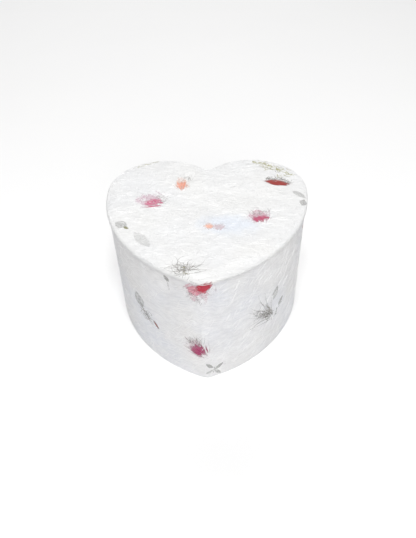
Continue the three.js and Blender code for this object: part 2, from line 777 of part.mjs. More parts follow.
function add(name, geometry, material, place = [0, 0, 0], group = musicBox) {
  const mesh = new THREE.Mesh(weld(geometry), material);
  mesh.name = name;
  mesh.position.set(...place);
  group.add(mesh);
}

const wallHoles = pilotHoles(bodyLeafY - 2.8, bodyNailZ);
const lidHoles = pilotHoles(lidLeafY - 3.4, lidNailZ);
add('wall_board', cut(wallBoard(), ...wallHoles), finish.greyBoard);
add('wall_paper', cut(wallPaper(), ...wallHoles), finish.floralPaper);
add('wall_lining', wallLining(), finish.velvet);
add('base_board', baseBoard(), finish.greyBoard);
add('deck_ledge', deckLedge(), finish.greyBoard);
add('deck_board', deckBoard(), finish.greyBoard);
add('deck_pad', deckPadCut(), finish.velvet);
add('lid_board', cut(lidBoard(), ...lidHoles), finish.greyBoard);
add('lid_paper', cut(lidPaper(), ...lidHoles), finish.floralPaper);
add('lid_lining', lidLining(), finish.velvet);

for (const [side, x] of [['left', -lobeX], ['right', lobeX]]) {
  add(`hinge_body_leaf_${side}`, bodyLeaf(), finish.brass, [x, 0, 0]);
  add(`hinge_lid_leaf_${side}`, lidLeaf(), finish.brass, [x, 0, 0]);
  add(`hinge_pin_${side}`, rodX(hingePinRadius, -hingeHalf - 0.2, hingeHalf + 0.2, hingeY, hingeZ, 12),
    finish.steel, [x, 0, 0]);
  for (const [place, offset] of [['outer', Math.sign(x) * nailX], ['inner', -Math.sign(x) * nailX]]) {
    add(`hinge_body_nail_${side}_${place}`, nail(2.4), finish.brass, [x + offset, bodyLeafY + 0.7, bodyNailZ]);
    add(`hinge_lid_nail_${side}_${place}`, nail(2.8), finish.brass, [x + offset, lidLeafY + 0.6, lidNailZ]);
  }
}

add('bedplate', bedplate(), finish.casting);
add('spring_housing', springHousing(), finish.brass);
add('mainspring', mainspring(), finish.spring);
add('winding_arbor', windingArbor(), finish.steel);
add('winding_key', windingKey(), finish.brass);
add('key_bush', keyBush(), finish.rubber);
add('great_wheel', greatWheel(), finish.brass);
add('clutch_spring', clutchSpring(), finish.spring);
add('cylinder_shaft', cylinderShaft(), finish.steel);
add('cylinder_pinion', cylinderPinion(), finish.brass);
add('pinned_cylinder', pinnedCylinder(), finish.brass);
add('cylinder_wheel', cylinderWheel(), finish.nylon);
add('comb', comb(), finish.steel);
add('governor_frame', governorFrame(), finish.steel);
add('governor_shaft', governorShaft(), finish.steel);
add('governor_wheel', governorWheel(), finish.nylon);
add('worm', worm(), finish.steel);
add('fly', fly(), finish.nylon);
combScrews.forEach((x, i) => {
  add(`comb_screw_${i + 1}`, screw(1.9, 1.3, 0.9, 4), finish.steel, [x, combMiddle, combZ + 1.05]);
});

const underside = new THREE.Group();
underside.rotation.x = Math.PI;
musicBox.add(underside);
screwPlaces.forEach(([x, y], i) => {
  add(`movement_screw_${i + 1}`, screw(2.7, 1.4, 1.2, 5), finish.steel, [x, -y, -baseZ + 0.1], underside);
});

add('stop_lever', stopLever(), finish.steel);
add('lever_pin', leverPin(), finish.steel);
add('lever_bracket', leverBracket(), finish.steel);
bracketScrews.forEach(([x, y], i) => {
  add(`bracket_screw_${i + 1}`, screw(1.5, 0.9, 0.75, 3), finish.steel, [x, y, baseTop + 0.95]);
});
add('stop_rod', stopRod(), finish.steel);
add('rod_guide', rodGuide(), finish.brass);

export default musicBox;
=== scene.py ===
import math
import random

import bpy
import numpy as np
from mathutils import Matrix, Vector, noise
from mathutils.bvhtree import BVHTree


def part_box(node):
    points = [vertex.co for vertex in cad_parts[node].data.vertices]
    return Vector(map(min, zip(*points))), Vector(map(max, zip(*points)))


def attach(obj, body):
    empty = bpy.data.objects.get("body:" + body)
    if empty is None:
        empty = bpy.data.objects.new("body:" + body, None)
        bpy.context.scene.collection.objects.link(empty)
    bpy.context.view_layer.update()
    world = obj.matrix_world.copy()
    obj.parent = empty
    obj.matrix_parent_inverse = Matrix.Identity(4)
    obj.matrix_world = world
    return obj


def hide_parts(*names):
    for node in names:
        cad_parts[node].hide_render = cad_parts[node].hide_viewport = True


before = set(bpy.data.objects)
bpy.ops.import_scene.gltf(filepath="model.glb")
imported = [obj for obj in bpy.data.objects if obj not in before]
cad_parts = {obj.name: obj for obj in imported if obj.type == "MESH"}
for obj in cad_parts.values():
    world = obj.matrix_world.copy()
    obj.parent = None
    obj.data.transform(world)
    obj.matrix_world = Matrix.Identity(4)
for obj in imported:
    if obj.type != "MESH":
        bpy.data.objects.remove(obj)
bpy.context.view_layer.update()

mm = 0.001

# Camera and light first: the camera looks down at the tip of the heart.
cameraSettings = {
    "azimuth": 2.82,
    "elevation": 41.37,
    "roll": -2.07,
    "distance": 388.1 * mm,
    "lens": 33.74,
    "shift": (0.001, -0.0103),
    "aim": (0, -2.15 * mm, 49.1 * mm),
}


def placeCamera():
    turn = math.radians(cameraSettings["azimuth"])
    tilt = math.radians(cameraSettings["elevation"])
    roll = math.radians(cameraSettings["roll"])
    back = Vector((math.sin(turn) * math.cos(tilt), -math.cos(turn) * math.cos(tilt), math.sin(tilt)))
    right = Vector((math.cos(turn), math.sin(turn), 0))
    up = back.cross(right)
    sideways = math.cos(roll) * right + math.sin(roll) * up
    upward = math.cos(roll) * up - math.sin(roll) * right
    place = Matrix((sideways, upward, back)).transposed().to_4x4()
    place.translation = Vector(cameraSettings["aim"]) + cameraSettings["distance"] * back
    camera = bpy.data.objects.new("camera", bpy.data.cameras.new("camera"))
    camera.data.lens = cameraSettings["lens"]
    camera.data.shift_x, camera.data.shift_y = cameraSettings["shift"]
    camera.data.clip_start = 0.01
    camera.matrix_world = place
    bpy.context.collection.objects.link(camera)
    bpy.context.scene.camera = camera


lampSettings = {
    "overheadLamp": {"place": (0.1, -1.1, 2.9), "size": 1.7, "power": 80},
    "frontLamp": {"place": (0.25, -1.7, 1.2), "size": 0.9, "power": 14},
    "rearLamp": {"place": (-0.3, 2.8, 1.9), "size": 2.4, "power": 44},
}


roomSettings = {"colour": (1.0, 0.99, 0.98, 1), "fill": 0.14, "backdrop": 0.9}


def placeLamps():
    for name, lamp in lampSettings.items():
        light = bpy.data.lights.new(name, "AREA")
        light.size = lamp["size"]
        light.energy = lamp["power"]
        lampObject = bpy.data.objects.new(name, light)
        lampObject.location = lamp["place"]
        toward = Vector((0, 0, 0.05)) - Vector(lamp["place"])
        lampObject.rotation_euler = toward.to_track_quat("-Z", "Y").to_euler()
        bpy.context.collection.objects.link(lampObject)
    # The room gives a little fill light, and is seen as a white backdrop.
    world = bpy.data.worlds.new("studio")
    bpy.context.scene.world = world
    world.use_nodes = True
    nodes, links = world.node_tree.nodes, world.node_tree.links
    fill = nodes["Background"]
    backdrop = nodes.new("ShaderNodeBackground")
    for shade, strength in ((fill, roomSettings["fill"]), (backdrop, roomSettings["backdrop"])):
        shade.inputs["Color"].default_value = roomSettings["colour"]
        shade.inputs["Strength"].default_value = strength
    seen = nodes.new("ShaderNodeLightPath")
    either = nodes.new("ShaderNodeMixShader")
    links.new(seen.outputs["Is Camera Ray"], either.inputs[0])
    links.new(fill.outputs[0], either.inputs[1])
    links.new(backdrop.outputs[0], either.inputs[2])
    links.new(either.outputs[0], nodes["World Output"].inputs["Surface"])
    bpy.context.scene.view_settings.view_transform = "Standard"


placeCamera()
placeLamps()
print("camera and lamps placed")


# Shading.
class Wire:
    def __init__(self, tree, socket=None):
        self.tree = tree
        self.socket = socket

    def node(self, kind, settings=None, inputs=None, output=0):
        made = self.tree.nodes.new(kind)
        for name, value in (settings or {}).items():
            if name == "stops":
                setStops(made.color_ramp, value)
            else:
                setattr(made, name, value)
        for key, value in (inputs or {}).items():
            if isinstance(value, Wire):
                self.tree.links.new(value.socket, made.inputs[key])
            else:
                made.inputs[key].default_value = value
        return Wire(self.tree, made.outputs[output])

    def maths(self, operation, *others):
        inputs = {0: self}
        for slot, other in enumerate(others):
            inputs[slot + 1] = other
        return self.node("ShaderNodeMath", {"operation": operation}, inputs)

    def __add__(self, other):
        return self.maths("ADD", other)

    def __radd__(self, other):
        return self.maths("ADD", other)

    def __sub__(self, other):
        return self.maths("SUBTRACT", other)

    def __rsub__(self, other):
        return self.node("ShaderNodeMath", {"operation": "SUBTRACT"}, {0: other, 1: self})

    def __mul__(self, other):
        return self.maths("MULTIPLY", other)

    def __rmul__(self, other):
        return self.maths("MULTIPLY", other)

    def __truediv__(self, other):
        return self.maths("DIVIDE", other)

    def __pow__(self, other):
        return self.maths("POWER", other)


def setStops(ramp, stops):
    while len(ramp.elements) < len(stops):
        ramp.elements.new(0.5)
    for element, (position, colour) in zip(ramp.elements, stops):
        element.position = position
        element.color = (*colour, 1)


def scaled(place, scale, turn=0.0):
    return place.node("ShaderNodeMapping", None, {"Vector": place, "Rotation": (0, 0, turn), "Scale": scale})


def speckle(place, scale, detail=3.0, roughness=0.55, distortion=0.0):
    inputs = {"Vector": place, "Scale": scale, "Detail": detail, "Roughness": roughness, "Distortion": distortion}
    return place.node("ShaderNodeTexNoise", None, inputs)


def ramp(value, low, high):
    settings = {"interpolation_type": "SMOOTHSTEP"}
    return value.node("ShaderNodeMapRange", settings, {"Value": value, "From Min": low, "From Max": high})


def ridge(value):
    return 1 - (value * 2 - 1).maths("ABSOLUTE")


def tint(factor, first, second):
    colours = [value if isinstance(value, Wire) else (*value, 1) for value in (first, second)]
    inputs = {0: factor, 6: colours[0], 7: colours[1]}
    return factor.node("ShaderNodeMix", {"data_type": "RGBA"}, inputs, 2)


def bumped(height, strength, distance):
    return height.node("ShaderNodeBump", None, {"Strength": strength, "Distance": distance, "Height": height})


def makeFinish(name, build, constants):
    material = bpy.data.materials.new(name)
    material.use_nodes = True
    tree = material.node_tree
    shader = tree.nodes["Principled BSDF"]
    for key, value in constants.items():
        shader.inputs[key].default_value = value
    for key, wire in build(Wire(tree)).items():
        tree.links.new(wire.socket, shader.inputs[key])
    return material


def swayed(place, sway, amount):
    return place.node("ShaderNodeVectorMath", {"operation": "MULTIPLY_ADD"}, {0: sway, 1: amount, 2: place})


def objectPlace(start):
    return start.node("ShaderNodeTexCoord", None, None, 3)


def mapPlace(start, name):
    return start.node("ShaderNodeUVMap", {"uv_map": name})


def handmadePaper(name, look):
    def build(start):
        place = mapPlace(start, "sheet")
        drift = speckle(place, 1.7, 2)
        warm = speckle(scaled(place, (1, 1, 1), 0.7), 2.6, 3)
        grain = speckle(place, 95, 5, 0.7)
        lumps = speckle(place, 14, 4, 0.6)
        swirl = place.node("ShaderNodeTexNoise", None, {"Vector": place, "Scale": 3.2}, 1)
        bent = swayed(place, swirl, (0.22, 0.22, 0))
        strandA = ridge(speckle(scaled(bent, (5, 110, 1), look["lean"]), 1, 2, 0.5)) ** 12
        strandB = ridge(speckle(scaled(bent, (8, 160, 1), -0.4 * look["lean"] - 0.5), 1, 2, 0.5)) ** 14
        strands = (strandA + strandB * 0.6).maths("MINIMUM", 1.0)
        wavy = place.node("ShaderNodeTexNoise", None, {"Vector": place, "Scale": 13.0}, 1)
        curled = swayed(bent, wavy, (0.07, 0.1, 0))
        crinkle = ridge(speckle(scaled(curled, look["crinkleScale"], look["crinkleTurn"]), 1, 2, 0.5, 0.5)) ** 4
        broken = ramp(speckle(place, 21, 3), 0.42, 0.6)
        crinkle = crinkle * broken
        base = tint(ramp(drift, 0.35, 0.7), look["light"], look["cool"])
        base = tint(ramp(warm, 0.5, 0.75) * look["warmth"], base, look["warm"])
        base = tint(ramp(grain, 0.4, 0.8) * 0.3, base, look["shade"])
        # Fibres are whiter in their own colour; the crinkle ridges are painted lighter as well, a painted highlight
        # on the folds.
        base = tint((strands + crinkle * 0.5).maths("MINIMUM", 1.0) * look["fibreWhiteAndRidgeHighlight"], base, (0.98, 0.98, 0.98))
        if "patch" in look:
            middle, size, turn, colour = look["patch"]
            offset = place.node("ShaderNodeVectorMath", {"operation": "SUBTRACT"}, {0: place, 1: (*middle, 0)})
            oval = scaled(offset, (1 / size[0], 1 / size[1], 1), turn)
            reach = oval.node("ShaderNodeVectorMath", {"operation": "LENGTH"}, {0: oval}, 1)
            base = tint(0.6 * (1 - ramp(reach + (lumps - 0.5) * 0.8, 0.3, 1.1)), base, colour)
        height = grain * 0.14 + lumps * look["lumps"] + strands * look["strand"] + crinkle * look["crinkle"]
        roughness = 0.84 - (strands + crinkle).maths("MINIMUM", 1.0) * 0.26
        return {"Base Color": base, "Roughness": roughness, "Normal": bumped(height, look["strength"], 0.6 * mm)}
    return makeFinish(name, build, {"Specular IOR Level": 0.3, "Sheen Weight": 0.06, "Sheen Roughness": 0.5})


# The lid and the wall wear one paper: the lid's copy is painted lighter (painted light on the top) and the wall's
# copy darker (painted shade on the sides).
paperLooks = {
    "lid": {"lean": 0.15, "crinkleTurn": 0.05, "crinkleScale": (11, 27, 1), "crinkle": 1.2, "strand": 0.3,
            "lumps": 0.16, "fibreWhiteAndRidgeHighlight": 0.3, "strength": 0.62, "warmth": 0.3, "light": (0.765, 0.765, 0.76),
            "cool": (0.735, 0.74, 0.75), "warm": (0.755, 0.74, 0.71), "shade": (0.66, 0.66, 0.67),
            "patch": ((0.16, -0.19), (0.26, 0.14), 0.1, (0.70, 0.755, 0.85))},
    "wall": {"lean": 0.9, "crinkleTurn": 0.8, "crinkleScale": (14, 44, 1), "crinkle": 0.45, "strand": 0.8,
             "lumps": 0.08, "fibreWhiteAndRidgeHighlight": 0.42, "strength": 0.52, "warmth": 0.4, "light": (0.725, 0.72, 0.725),
             "cool": (0.68, 0.695, 0.745), "warm": (0.715, 0.70, 0.68), "shade": (0.59, 0.59, 0.60)},
}


def paperStrand():
    def build(start):
        place = objectPlace(start)
        base = tint(speckle(place, 260, 3), (0.86, 0.86, 0.86), (0.98, 0.98, 0.97))
        return {"Base Color": base, "Roughness": 0.45 + 0.2 * speckle(place, 900, 2)}
    return makeFinish("paperStrand", build, {"Specular IOR Level": 0.45})


def greyBoard():
    def build(start):
        place = objectPlace(start)
        fleck = speckle(place, 900, 3, 0.7)
        layer = speckle(scaled(place, (60, 60, 2600)), 1, 2)
        base = tint(ramp(fleck, 0.35, 0.7), (0.47, 0.45, 0.41), (0.58, 0.56, 0.51))
        base = tint(ramp(layer, 0.55, 0.75) * 0.35, base, (0.36, 0.34, 0.31))
        return {"Base Color": base, "Normal": bumped(fleck + layer * 0.5, 0.4, 0.2 * mm)}
    return makeFinish("greyBoard", build, {"Roughness": 0.93, "Specular IOR Level": 0.25})


def liningPaper():
    def build(start):
        place = objectPlace(start)
        grain = speckle(place, 1500, 4, 0.7)
        cloud = speckle(place, 45, 3)
        strand = ridge(speckle(scaled(place, (900, 120, 300), 0.6), 1, 2)) ** 12
        base = tint(ramp(cloud, 0.3, 0.7), (0.80, 0.78, 0.73), (0.73, 0.71, 0.67))
        base = tint(strand.maths("MINIMUM", 1.0) * 0.4, base, (0.9, 0.89, 0.86))
        return {"Base Color": base, "Normal": bumped(grain * 0.4 + strand, 0.5, 0.25 * mm)}
    return makeFinish("liningPaper", build, {"Roughness": 0.88, "Specular IOR Level": 0.3})


def velvetCloth():
    def build(start):
        place = objectPlace(start)
        pile = speckle(place, 2600, 3, 0.75)
        brushed = speckle(scaled(place, (40, 90, 40), 0.5), 1, 3, 0.6, 0.8)
        base = tint(ramp(brushed, 0.35, 0.68), (0.60, 0.53, 0.47), (0.76, 0.70, 0.63))
        base = tint(ramp(pile, 0.35, 0.75) * 0.3, base, (0.5, 0.43, 0.38))
        return {"Base Color": base, "Normal": bumped(pile + brushed * 0.8, 0.55, 0.3 * mm)}
    return makeFinish("velvetCloth", build,
                      {"Roughness": 0.95, "Sheen Weight": 0.75, "Sheen Roughness": 0.35,
                       "Specular IOR Level": 0.15})


def metal(name, look):
    def build(start):
        place = objectPlace(start)
        cloud = speckle(place, 160, 4)
        scratch = ridge(speckle(scaled(place, look["grain"]), 1, 3, 0.6)) ** 4
        spots = ramp(speckle(place, 420, 2), 0.62, 0.75)
        base = tint(ramp(cloud, 0.3, 0.7), look["light"], look["dark"])
        base = tint(spots * look["spots"], base, look["stain"])
        roughness = look["rough"] + cloud * 0.16 + scratch * 0.08
        relief = bumped(scratch + cloud * 0.4, look["bump"], 0.1 * mm)
        return {"Base Color": base, "Roughness": roughness, "Normal": relief}
    return makeFinish(name, build, {"Metallic": look["metallic"]})


metalLooks = {
    "warmBrass": {"light": (0.80, 0.60, 0.27), "dark": (0.66, 0.47, 0.19), "stain": (0.36, 0.24, 0.10),
        "spots": 0.3, "grain": (300, 300, 4200), "rough": 0.2, "bump": 0.2, "metallic": 1.0},
    "pressedSteel": {"light": (0.68, 0.69, 0.71), "dark": (0.54, 0.55, 0.58), "stain": (0.32, 0.30, 0.28),
        "spots": 0.2, "grain": (3600, 260, 260), "rough": 0.24, "bump": 0.22, "metallic": 1.0},
    "bluedSpring": {"light": (0.26, 0.29, 0.36), "dark": (0.17, 0.19, 0.25), "stain": (0.30, 0.22, 0.16),
        "spots": 0.3, "grain": (400, 400, 3000), "rough": 0.22, "bump": 0.15, "metallic": 1.0},
    "giltCasting": {"light": (0.66, 0.56, 0.33), "dark": (0.55, 0.45, 0.24), "stain": (0.32, 0.27, 0.18),
        "spots": 0.25, "grain": (700, 700, 700), "rough": 0.36, "bump": 0.5, "metallic": 0.85},
}


def moulded(name, light, dark, rough):
    def build(start):
        place = objectPlace(start)
        grain = speckle(place, 1800, 3, 0.6)
        cloud = speckle(place, 70, 2)
        base = tint(ramp(cloud, 0.3, 0.7), light, dark)
        return {"Base Color": base, "Roughness": rough + grain * 0.15, "Normal": bumped(grain, 0.25, 0.1 * mm)}
    return makeFinish(name, build, {"Specular IOR Level": 0.45})


finishes = {
    # Painted light and shade: the lid's paper is a lighter copy, the wall's paper a darker copy of the same paper.
    "lidPaper": handmadePaper("lidPaper", paperLooks["lid"]),
    "wallPaper": handmadePaper("wallPaper", paperLooks["wall"]),
    "paperStrand": paperStrand(),
    "greyBoard": greyBoard(),
    "liningPaper": liningPaper(),
    "velvetCloth": velvetCloth(),
    "nylon": moulded("nylon", (0.86, 0.85, 0.80), (0.80, 0.78, 0.72), 0.4),
    "rubber": moulded("rubber", (0.035, 0.035, 0.037), (0.06, 0.058, 0.056), 0.62),
}
for name, look in metalLooks.items():
    finishes[name] = metal(name, look)
print("finishes made:", len(finishes))


# Heart outline.
lidLow, lidHigh = [Vector(corner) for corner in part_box("lid_paper")]
wallHigh = Vector(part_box("wall_paper")[1])
heartShape = {"lobeRadius": 41.5 * mm, "cleftRadius": 4.5 * mm, "tipRadius": 10 * mm, "spacing": 1.0 * mm}
overhang = lidHigh.x - wallHigh.x


def heartArcs():
    lobeR, cleftR, tipR = (heartShape[key] for key in ("lobeRadius", "cleftRadius", "tipRadius"))
    halfWidth = lidHigh.x
    lobe = Vector((halfWidth - lobeR, lidHigh.y - lobeR))
    cleft = Vector((0, lobe.y + math.sqrt((cleftR + lobeR) ** 2 - lobe.x ** 2)))
    tip = Vector((0, lidLow.y + tipR))
    drop = lobe.y - tip.y
    sideR = (halfWidth ** 2 + drop ** 2 - tipR ** 2) / (2 * (halfWidth - tipR))
    side = Vector((halfWidth - sideR, lobe.y))
    sideStart = math.atan2(tip.y - side.y, tip.x - side.x)
    lobeEnd = math.atan2(cleft.y - lobe.y, -lobe.x)
    return [
        (tip, tipR, -math.pi / 2, sideStart, 1),
        (side, sideR, sideStart, 0, 1),
        (lobe, lobeR, 0, lobeEnd, 1),
        (cleft, cleftR, lobeEnd - math.pi, -math.pi / 2, -1),
    ]


def heartLine():
    rows = []
    travelled = 0.0
    for centre, radius, start, end, facing in heartArcs():
        length = abs(end - start) * radius
        steps = max(3, round(length / heartShape["spacing"]))
        for step in range(steps):
            angle = start + (end - start) * step / steps
            outward = Vector((math.cos(angle), math.sin(angle)))
            point = centre + radius * outward
            rows.append((travelled + length * step / steps, *point, *(facing * outward)))
        travelled += length
    centre, radius = heartArcs()[-1][:2]
    rows.append((travelled, 0, centre.y - radius, 0, 1))
    left = [(-along, -x, y, -nx, ny) for along, x, y, nx, ny in rows[1:-1]]
    return np.array(left[::-1] + rows), travelled


heart, heartHalf = heartLine()
heartCentre = np.array([0.0, 8 * mm])


def heartRing(inset):
    return heart[:, 1:3] - heart[:, 3:5] * inset


def wallPoint(along, height, inset):
    values = [np.interp(along, heart[:, 0], heart[:, column]) for column in (1, 2, 3, 4)]
    point = Vector((values[0] - values[2] * inset, values[1] - values[3] * inset, height))
    return point, Vector((values[2], values[3], 0)).normalized()


def addPiece(name, vertices, faces, finish, smooth=True):
    mesh = bpy.data.meshes.new(name)
    mesh.from_pydata([tuple(vertex) for vertex in vertices], [], faces)
    mesh.polygons.foreach_set("use_smooth", [smooth] * len(mesh.polygons))
    mesh.materials.append(finish)
    mesh.update()
    piece = bpy.data.objects.new(name, mesh)
    bpy.context.collection.objects.link(piece)
    return piece


def bandFaces(rows, count, firstRow=0):
    faces = []
    for row in range(firstRow, rows - 1):
        for i in range(count):
            j = (i + 1) % count
            faces.append((row * count + i, row * count + j, (row + 1) * count + j, (row + 1) * count + i))
    return faces


# Writes the flat paper's own coordinates, in units of 100 mm, to the piece's map.
def writeMap(piece, places):
    layer = piece.data.uv_layers.new(name="sheet")
    for polygon in piece.data.polygons:
        corners = [places[piece.data.loops[loop].vertex_index] for loop in polygon.loop_indices]
        wraps = max(corner[0] for corner in corners) - min(corner[0] for corner in corners) > heartHalf * 10
        for loop, corner in zip(polygon.loop_indices, corners):
            across = corner[0]
            if wraps and across < 0:
                across += 2 * heartHalf * 10
            layer.data[loop].uv = (across, corner[1])


def thicken(piece, depth):
    modifier = piece.modifiers.new("thickness", "SOLIDIFY")
    modifier.thickness = depth
    modifier.offset = -1


# Paper-covered wall.
wallSettings = {"paperThick": 0.35 * mm, "rowHeight": 1.1 * mm, "relief": 0.22 * mm, "innerInset": 5.0 * mm,
                "setBack": 0.2 * mm}


def paperRelief(place, size):
    soft = noise.fractal(place / (11 * mm), 0.6, 2.1, 3)
    stretched = Vector((place.x / (16 * mm), place.y / (5 * mm), place.z / (9 * mm)))
    fold = 1 - abs(noise.noise(stretched + Vector((7, 3, 5))))
    return size * (0.6 * soft + 0.5 * (fold ** 6 - 0.4))


def makeWallSkin():
    rim = wallHigh.z
    inner = wallSettings["innerInset"]
    profile = [(4.2 * mm, 0.03 * mm), (2.2 * mm, 0.0), (1.6 * mm, 0.1 * mm), (1.46 * mm, 0.4 * mm)]
    rows = round((rim - 1.6 * mm) / wallSettings["rowHeight"])
    wallInset = overhang + wallSettings["setBack"]
    profile += [(wallInset, 1 * mm + (rim - 1.6 * mm) * step / rows) for step in range(rows + 1)]
    profile += [(wallInset + 0.08 * mm, rim - 0.25 * mm), (wallInset + 0.35 * mm, rim - 0.04 * mm)]
    profile += [(overhang + 0.9 * mm, rim), (inner - 0.8 * mm, rim), (inner - 0.25 * mm, rim - 0.1 * mm)]
    profile += [(inner, rim - 0.5 * mm), (inner, rim - 2.5 * mm), (inner, rim - 5.9 * mm)]
    vertices = []
    places = []
    travelled = 0.0
    for index, (inset, height) in enumerate(profile):
        if index:
            travelled += math.hypot(inset - profile[index - 1][0], height - profile[index - 1][1])
        for along, x, y, nx, ny in heart:
            point = Vector((x - nx * inset, y - ny * inset, height))
            if abs(inset - wallInset) < 0.01 * mm and 2 * mm < height < rim - 1.2 * mm:
                point -= Vector((nx, ny, 0)) * abs(paperRelief(point, wallSettings["relief"]))
            vertices.append(point)
            places.append((along * 10, travelled * 10))
    skin = addPiece("wallSkin", vertices, bandFaces(len(profile), len(heart)), finishes["wallPaper"])
    writeMap(skin, places)
    thicken(skin, wallSettings["paperThick"])
    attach(skin, "case")
    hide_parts("wall_paper")
    return skin


# Lid.
lidSettings = {"round": 2.0 * mm, "crown": 1.7 * mm, "decay": 3.6 * mm, "turnIn": 7.4 * mm, "rings": 46,
               "relief": 0.34 * mm, "setBack": 0.25 * mm, "flatInset": 8.5 * mm, "clear": 0.34 * mm,
               "backFrom": 15 * mm, "backOver": 40 * mm}


def crownRise(inset):
    return 1 - np.exp(-inset / lidSettings["decay"])


# Rings from the underside, round the edge and up to the crown, then a fan to the middle.
# The edge is fullest round the tip and lower towards the hinges.
def crownedForm(under, top, setBack, firstRings):
    count = len(heart)
    back = np.clip((heart[:, 2] - lidSettings["backFrom"]) / lidSettings["backOver"], 0, 1)
    crown = lidSettings["crown"] * (1 - 0.5 * back)
    radius = lidSettings["round"] * (1 - 0.2 * back)
    flatInset = lidSettings["flatInset"]
    edgeTop = top - crown
    level = np.ones(count)
    rings = [(inset * level, height * level) for inset, height in firstRings]
    rings += [(setBack * level, (under + 0.8 * mm) * level), (setBack * level, edgeTop - radius)]
    for step in range(1, 9):
        angle = step / 8 * math.pi / 2
        rings.append((setBack + radius * (1 - math.cos(angle)), edgeTop - radius * (1 - math.sin(angle))))
    start = setBack + radius
    for step in range(1, 8):
        inset = start + (flatInset - start) * step / 7
        rings.append((inset, edgeTop + crown * crownRise(inset - start)))
    vertices = []
    places = []
    for inset, height in rings:
        for i, (x, y) in enumerate(heartRing(inset[:, None])):
            vertices.append(Vector((x, y, height[i])))
            places.append((x * 10, (y - max(0.0, edgeTop[i] - height[i])) * 10))
    rim = heartRing(flatInset)
    steps = lidSettings["rings"]
    for step in range(1, steps):
        share = 1 - step / steps
        height = edgeTop + crown * crownRise(flatInset - start + (1 - share) * 40 * mm)
        for i, (x, y) in enumerate(heartCentre + (rim - heartCentre) * share):
            vertices.append(Vector((x, y, height[i])))
            places.append((x * 10, y * 10))
    faces = bandFaces(len(vertices) // count, count)
    pole = len(vertices)
    vertices.append(Vector((*heartCentre, top)))
    places.append((heartCentre[0] * 10, heartCentre[1] * 10))
    faces += [(pole - count + i, pole - count + (i + 1) % count, pole) for i in range(count)]
    return vertices, places, faces


def makeLidSkin():
    top = lidHigh.z - lidSettings["clear"]
    under = lidLow.z
    setBack = lidSettings["setBack"]
    turned = [(lidSettings["turnIn"], under), (4 * mm, under), (1.2 * mm, under), (0.4 * mm, under + 0.05 * mm)]
    turned.append((0.05 * mm + setBack, under + 0.35 * mm))
    vertices, places, faces = crownedForm(under, top, setBack, turned)
    crown = lidSettings["crown"]
    for vertex in vertices:
        share = min(1.0, max(0.0, (vertex.z - top + crown) / crown))
        if share > 0:
            vertex.z = min(top + 0.2 * mm, vertex.z + share * paperRelief(vertex, lidSettings["relief"]))
    skin = addPiece("lidSkin", vertices, faces, finishes["lidPaper"])
    writeMap(skin, places)
    thicken(skin, 0.35 * mm)
    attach(skin, "lid")
    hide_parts("lid_paper")
    return skin


# The lid's board is shaped like the paper over it, a little smaller all round.
def makeLidBoard():
    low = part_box("lid_board")[0][2]
    below = 0.62 * mm
    setBack = lidSettings["setBack"] + 0.45 * mm
    top = lidHigh.z - lidSettings["clear"] - below
    vertices, _, faces = crownedForm(low, top, setBack, [(lidSettings["flatInset"], low), (setBack, low)])
    count = len(heart)
    pole = len(vertices)
    vertices.append(Vector((*heartCentre, low)))
    faces += [((i + 1) % count, i, pole) for i in range(count)]
    board = addPiece("lidBoard", vertices, faces, finishes["greyBoard"])
    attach(board, "lid")
    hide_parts("lid_board")


wallSkin = makeWallSkin()
lidSkin = makeLidSkin()
makeLidBoard()
print("paper skins made", len(wallSkin.data.polygons), len(lidSkin.data.polygons))


# Pressed petals and leaves.
def surfaceTree(piece):
    mesh = piece.data
    corners = [vertex.co.copy() for vertex in mesh.vertices]
    return BVHTree.FromPolygons(corners, [tuple(polygon.vertices) for polygon in mesh.polygons])


surfaces = {"top": surfaceTree(lidSkin), "side": surfaceTree(wallSkin)}


# A place on the paper: across and up in the sheet's own metres, lifted off the surface.
def onPaper(where, across, up, lift):
    if where == "top":
        hit, normal = surfaces["top"].ray_cast(Vector((across, up, 0.2)), Vector((0, 0, -1)))[:2]
        if hit is None:
            hit, normal = surfaces["top"].find_nearest(Vector((across, up, lidHigh.z)))[:2]
        if normal.z < 0:
            normal = -normal
    else:
        point, outward = wallPoint(across, up, overhang)
        surface = surfaces["top" if where == "edge" else "side"]
        hit, normal = surface.ray_cast(point + outward * 5 * mm, -outward)[:2]
        if hit is None:
            hit, normal = point, outward
        if normal.dot(outward) < 0:
            normal = -normal
    return hit + normal * lift


def floraFinish(name, build):
    return makeFinish(name, build, {"Specular IOR Level": 0.3, "Roughness": 0.7})


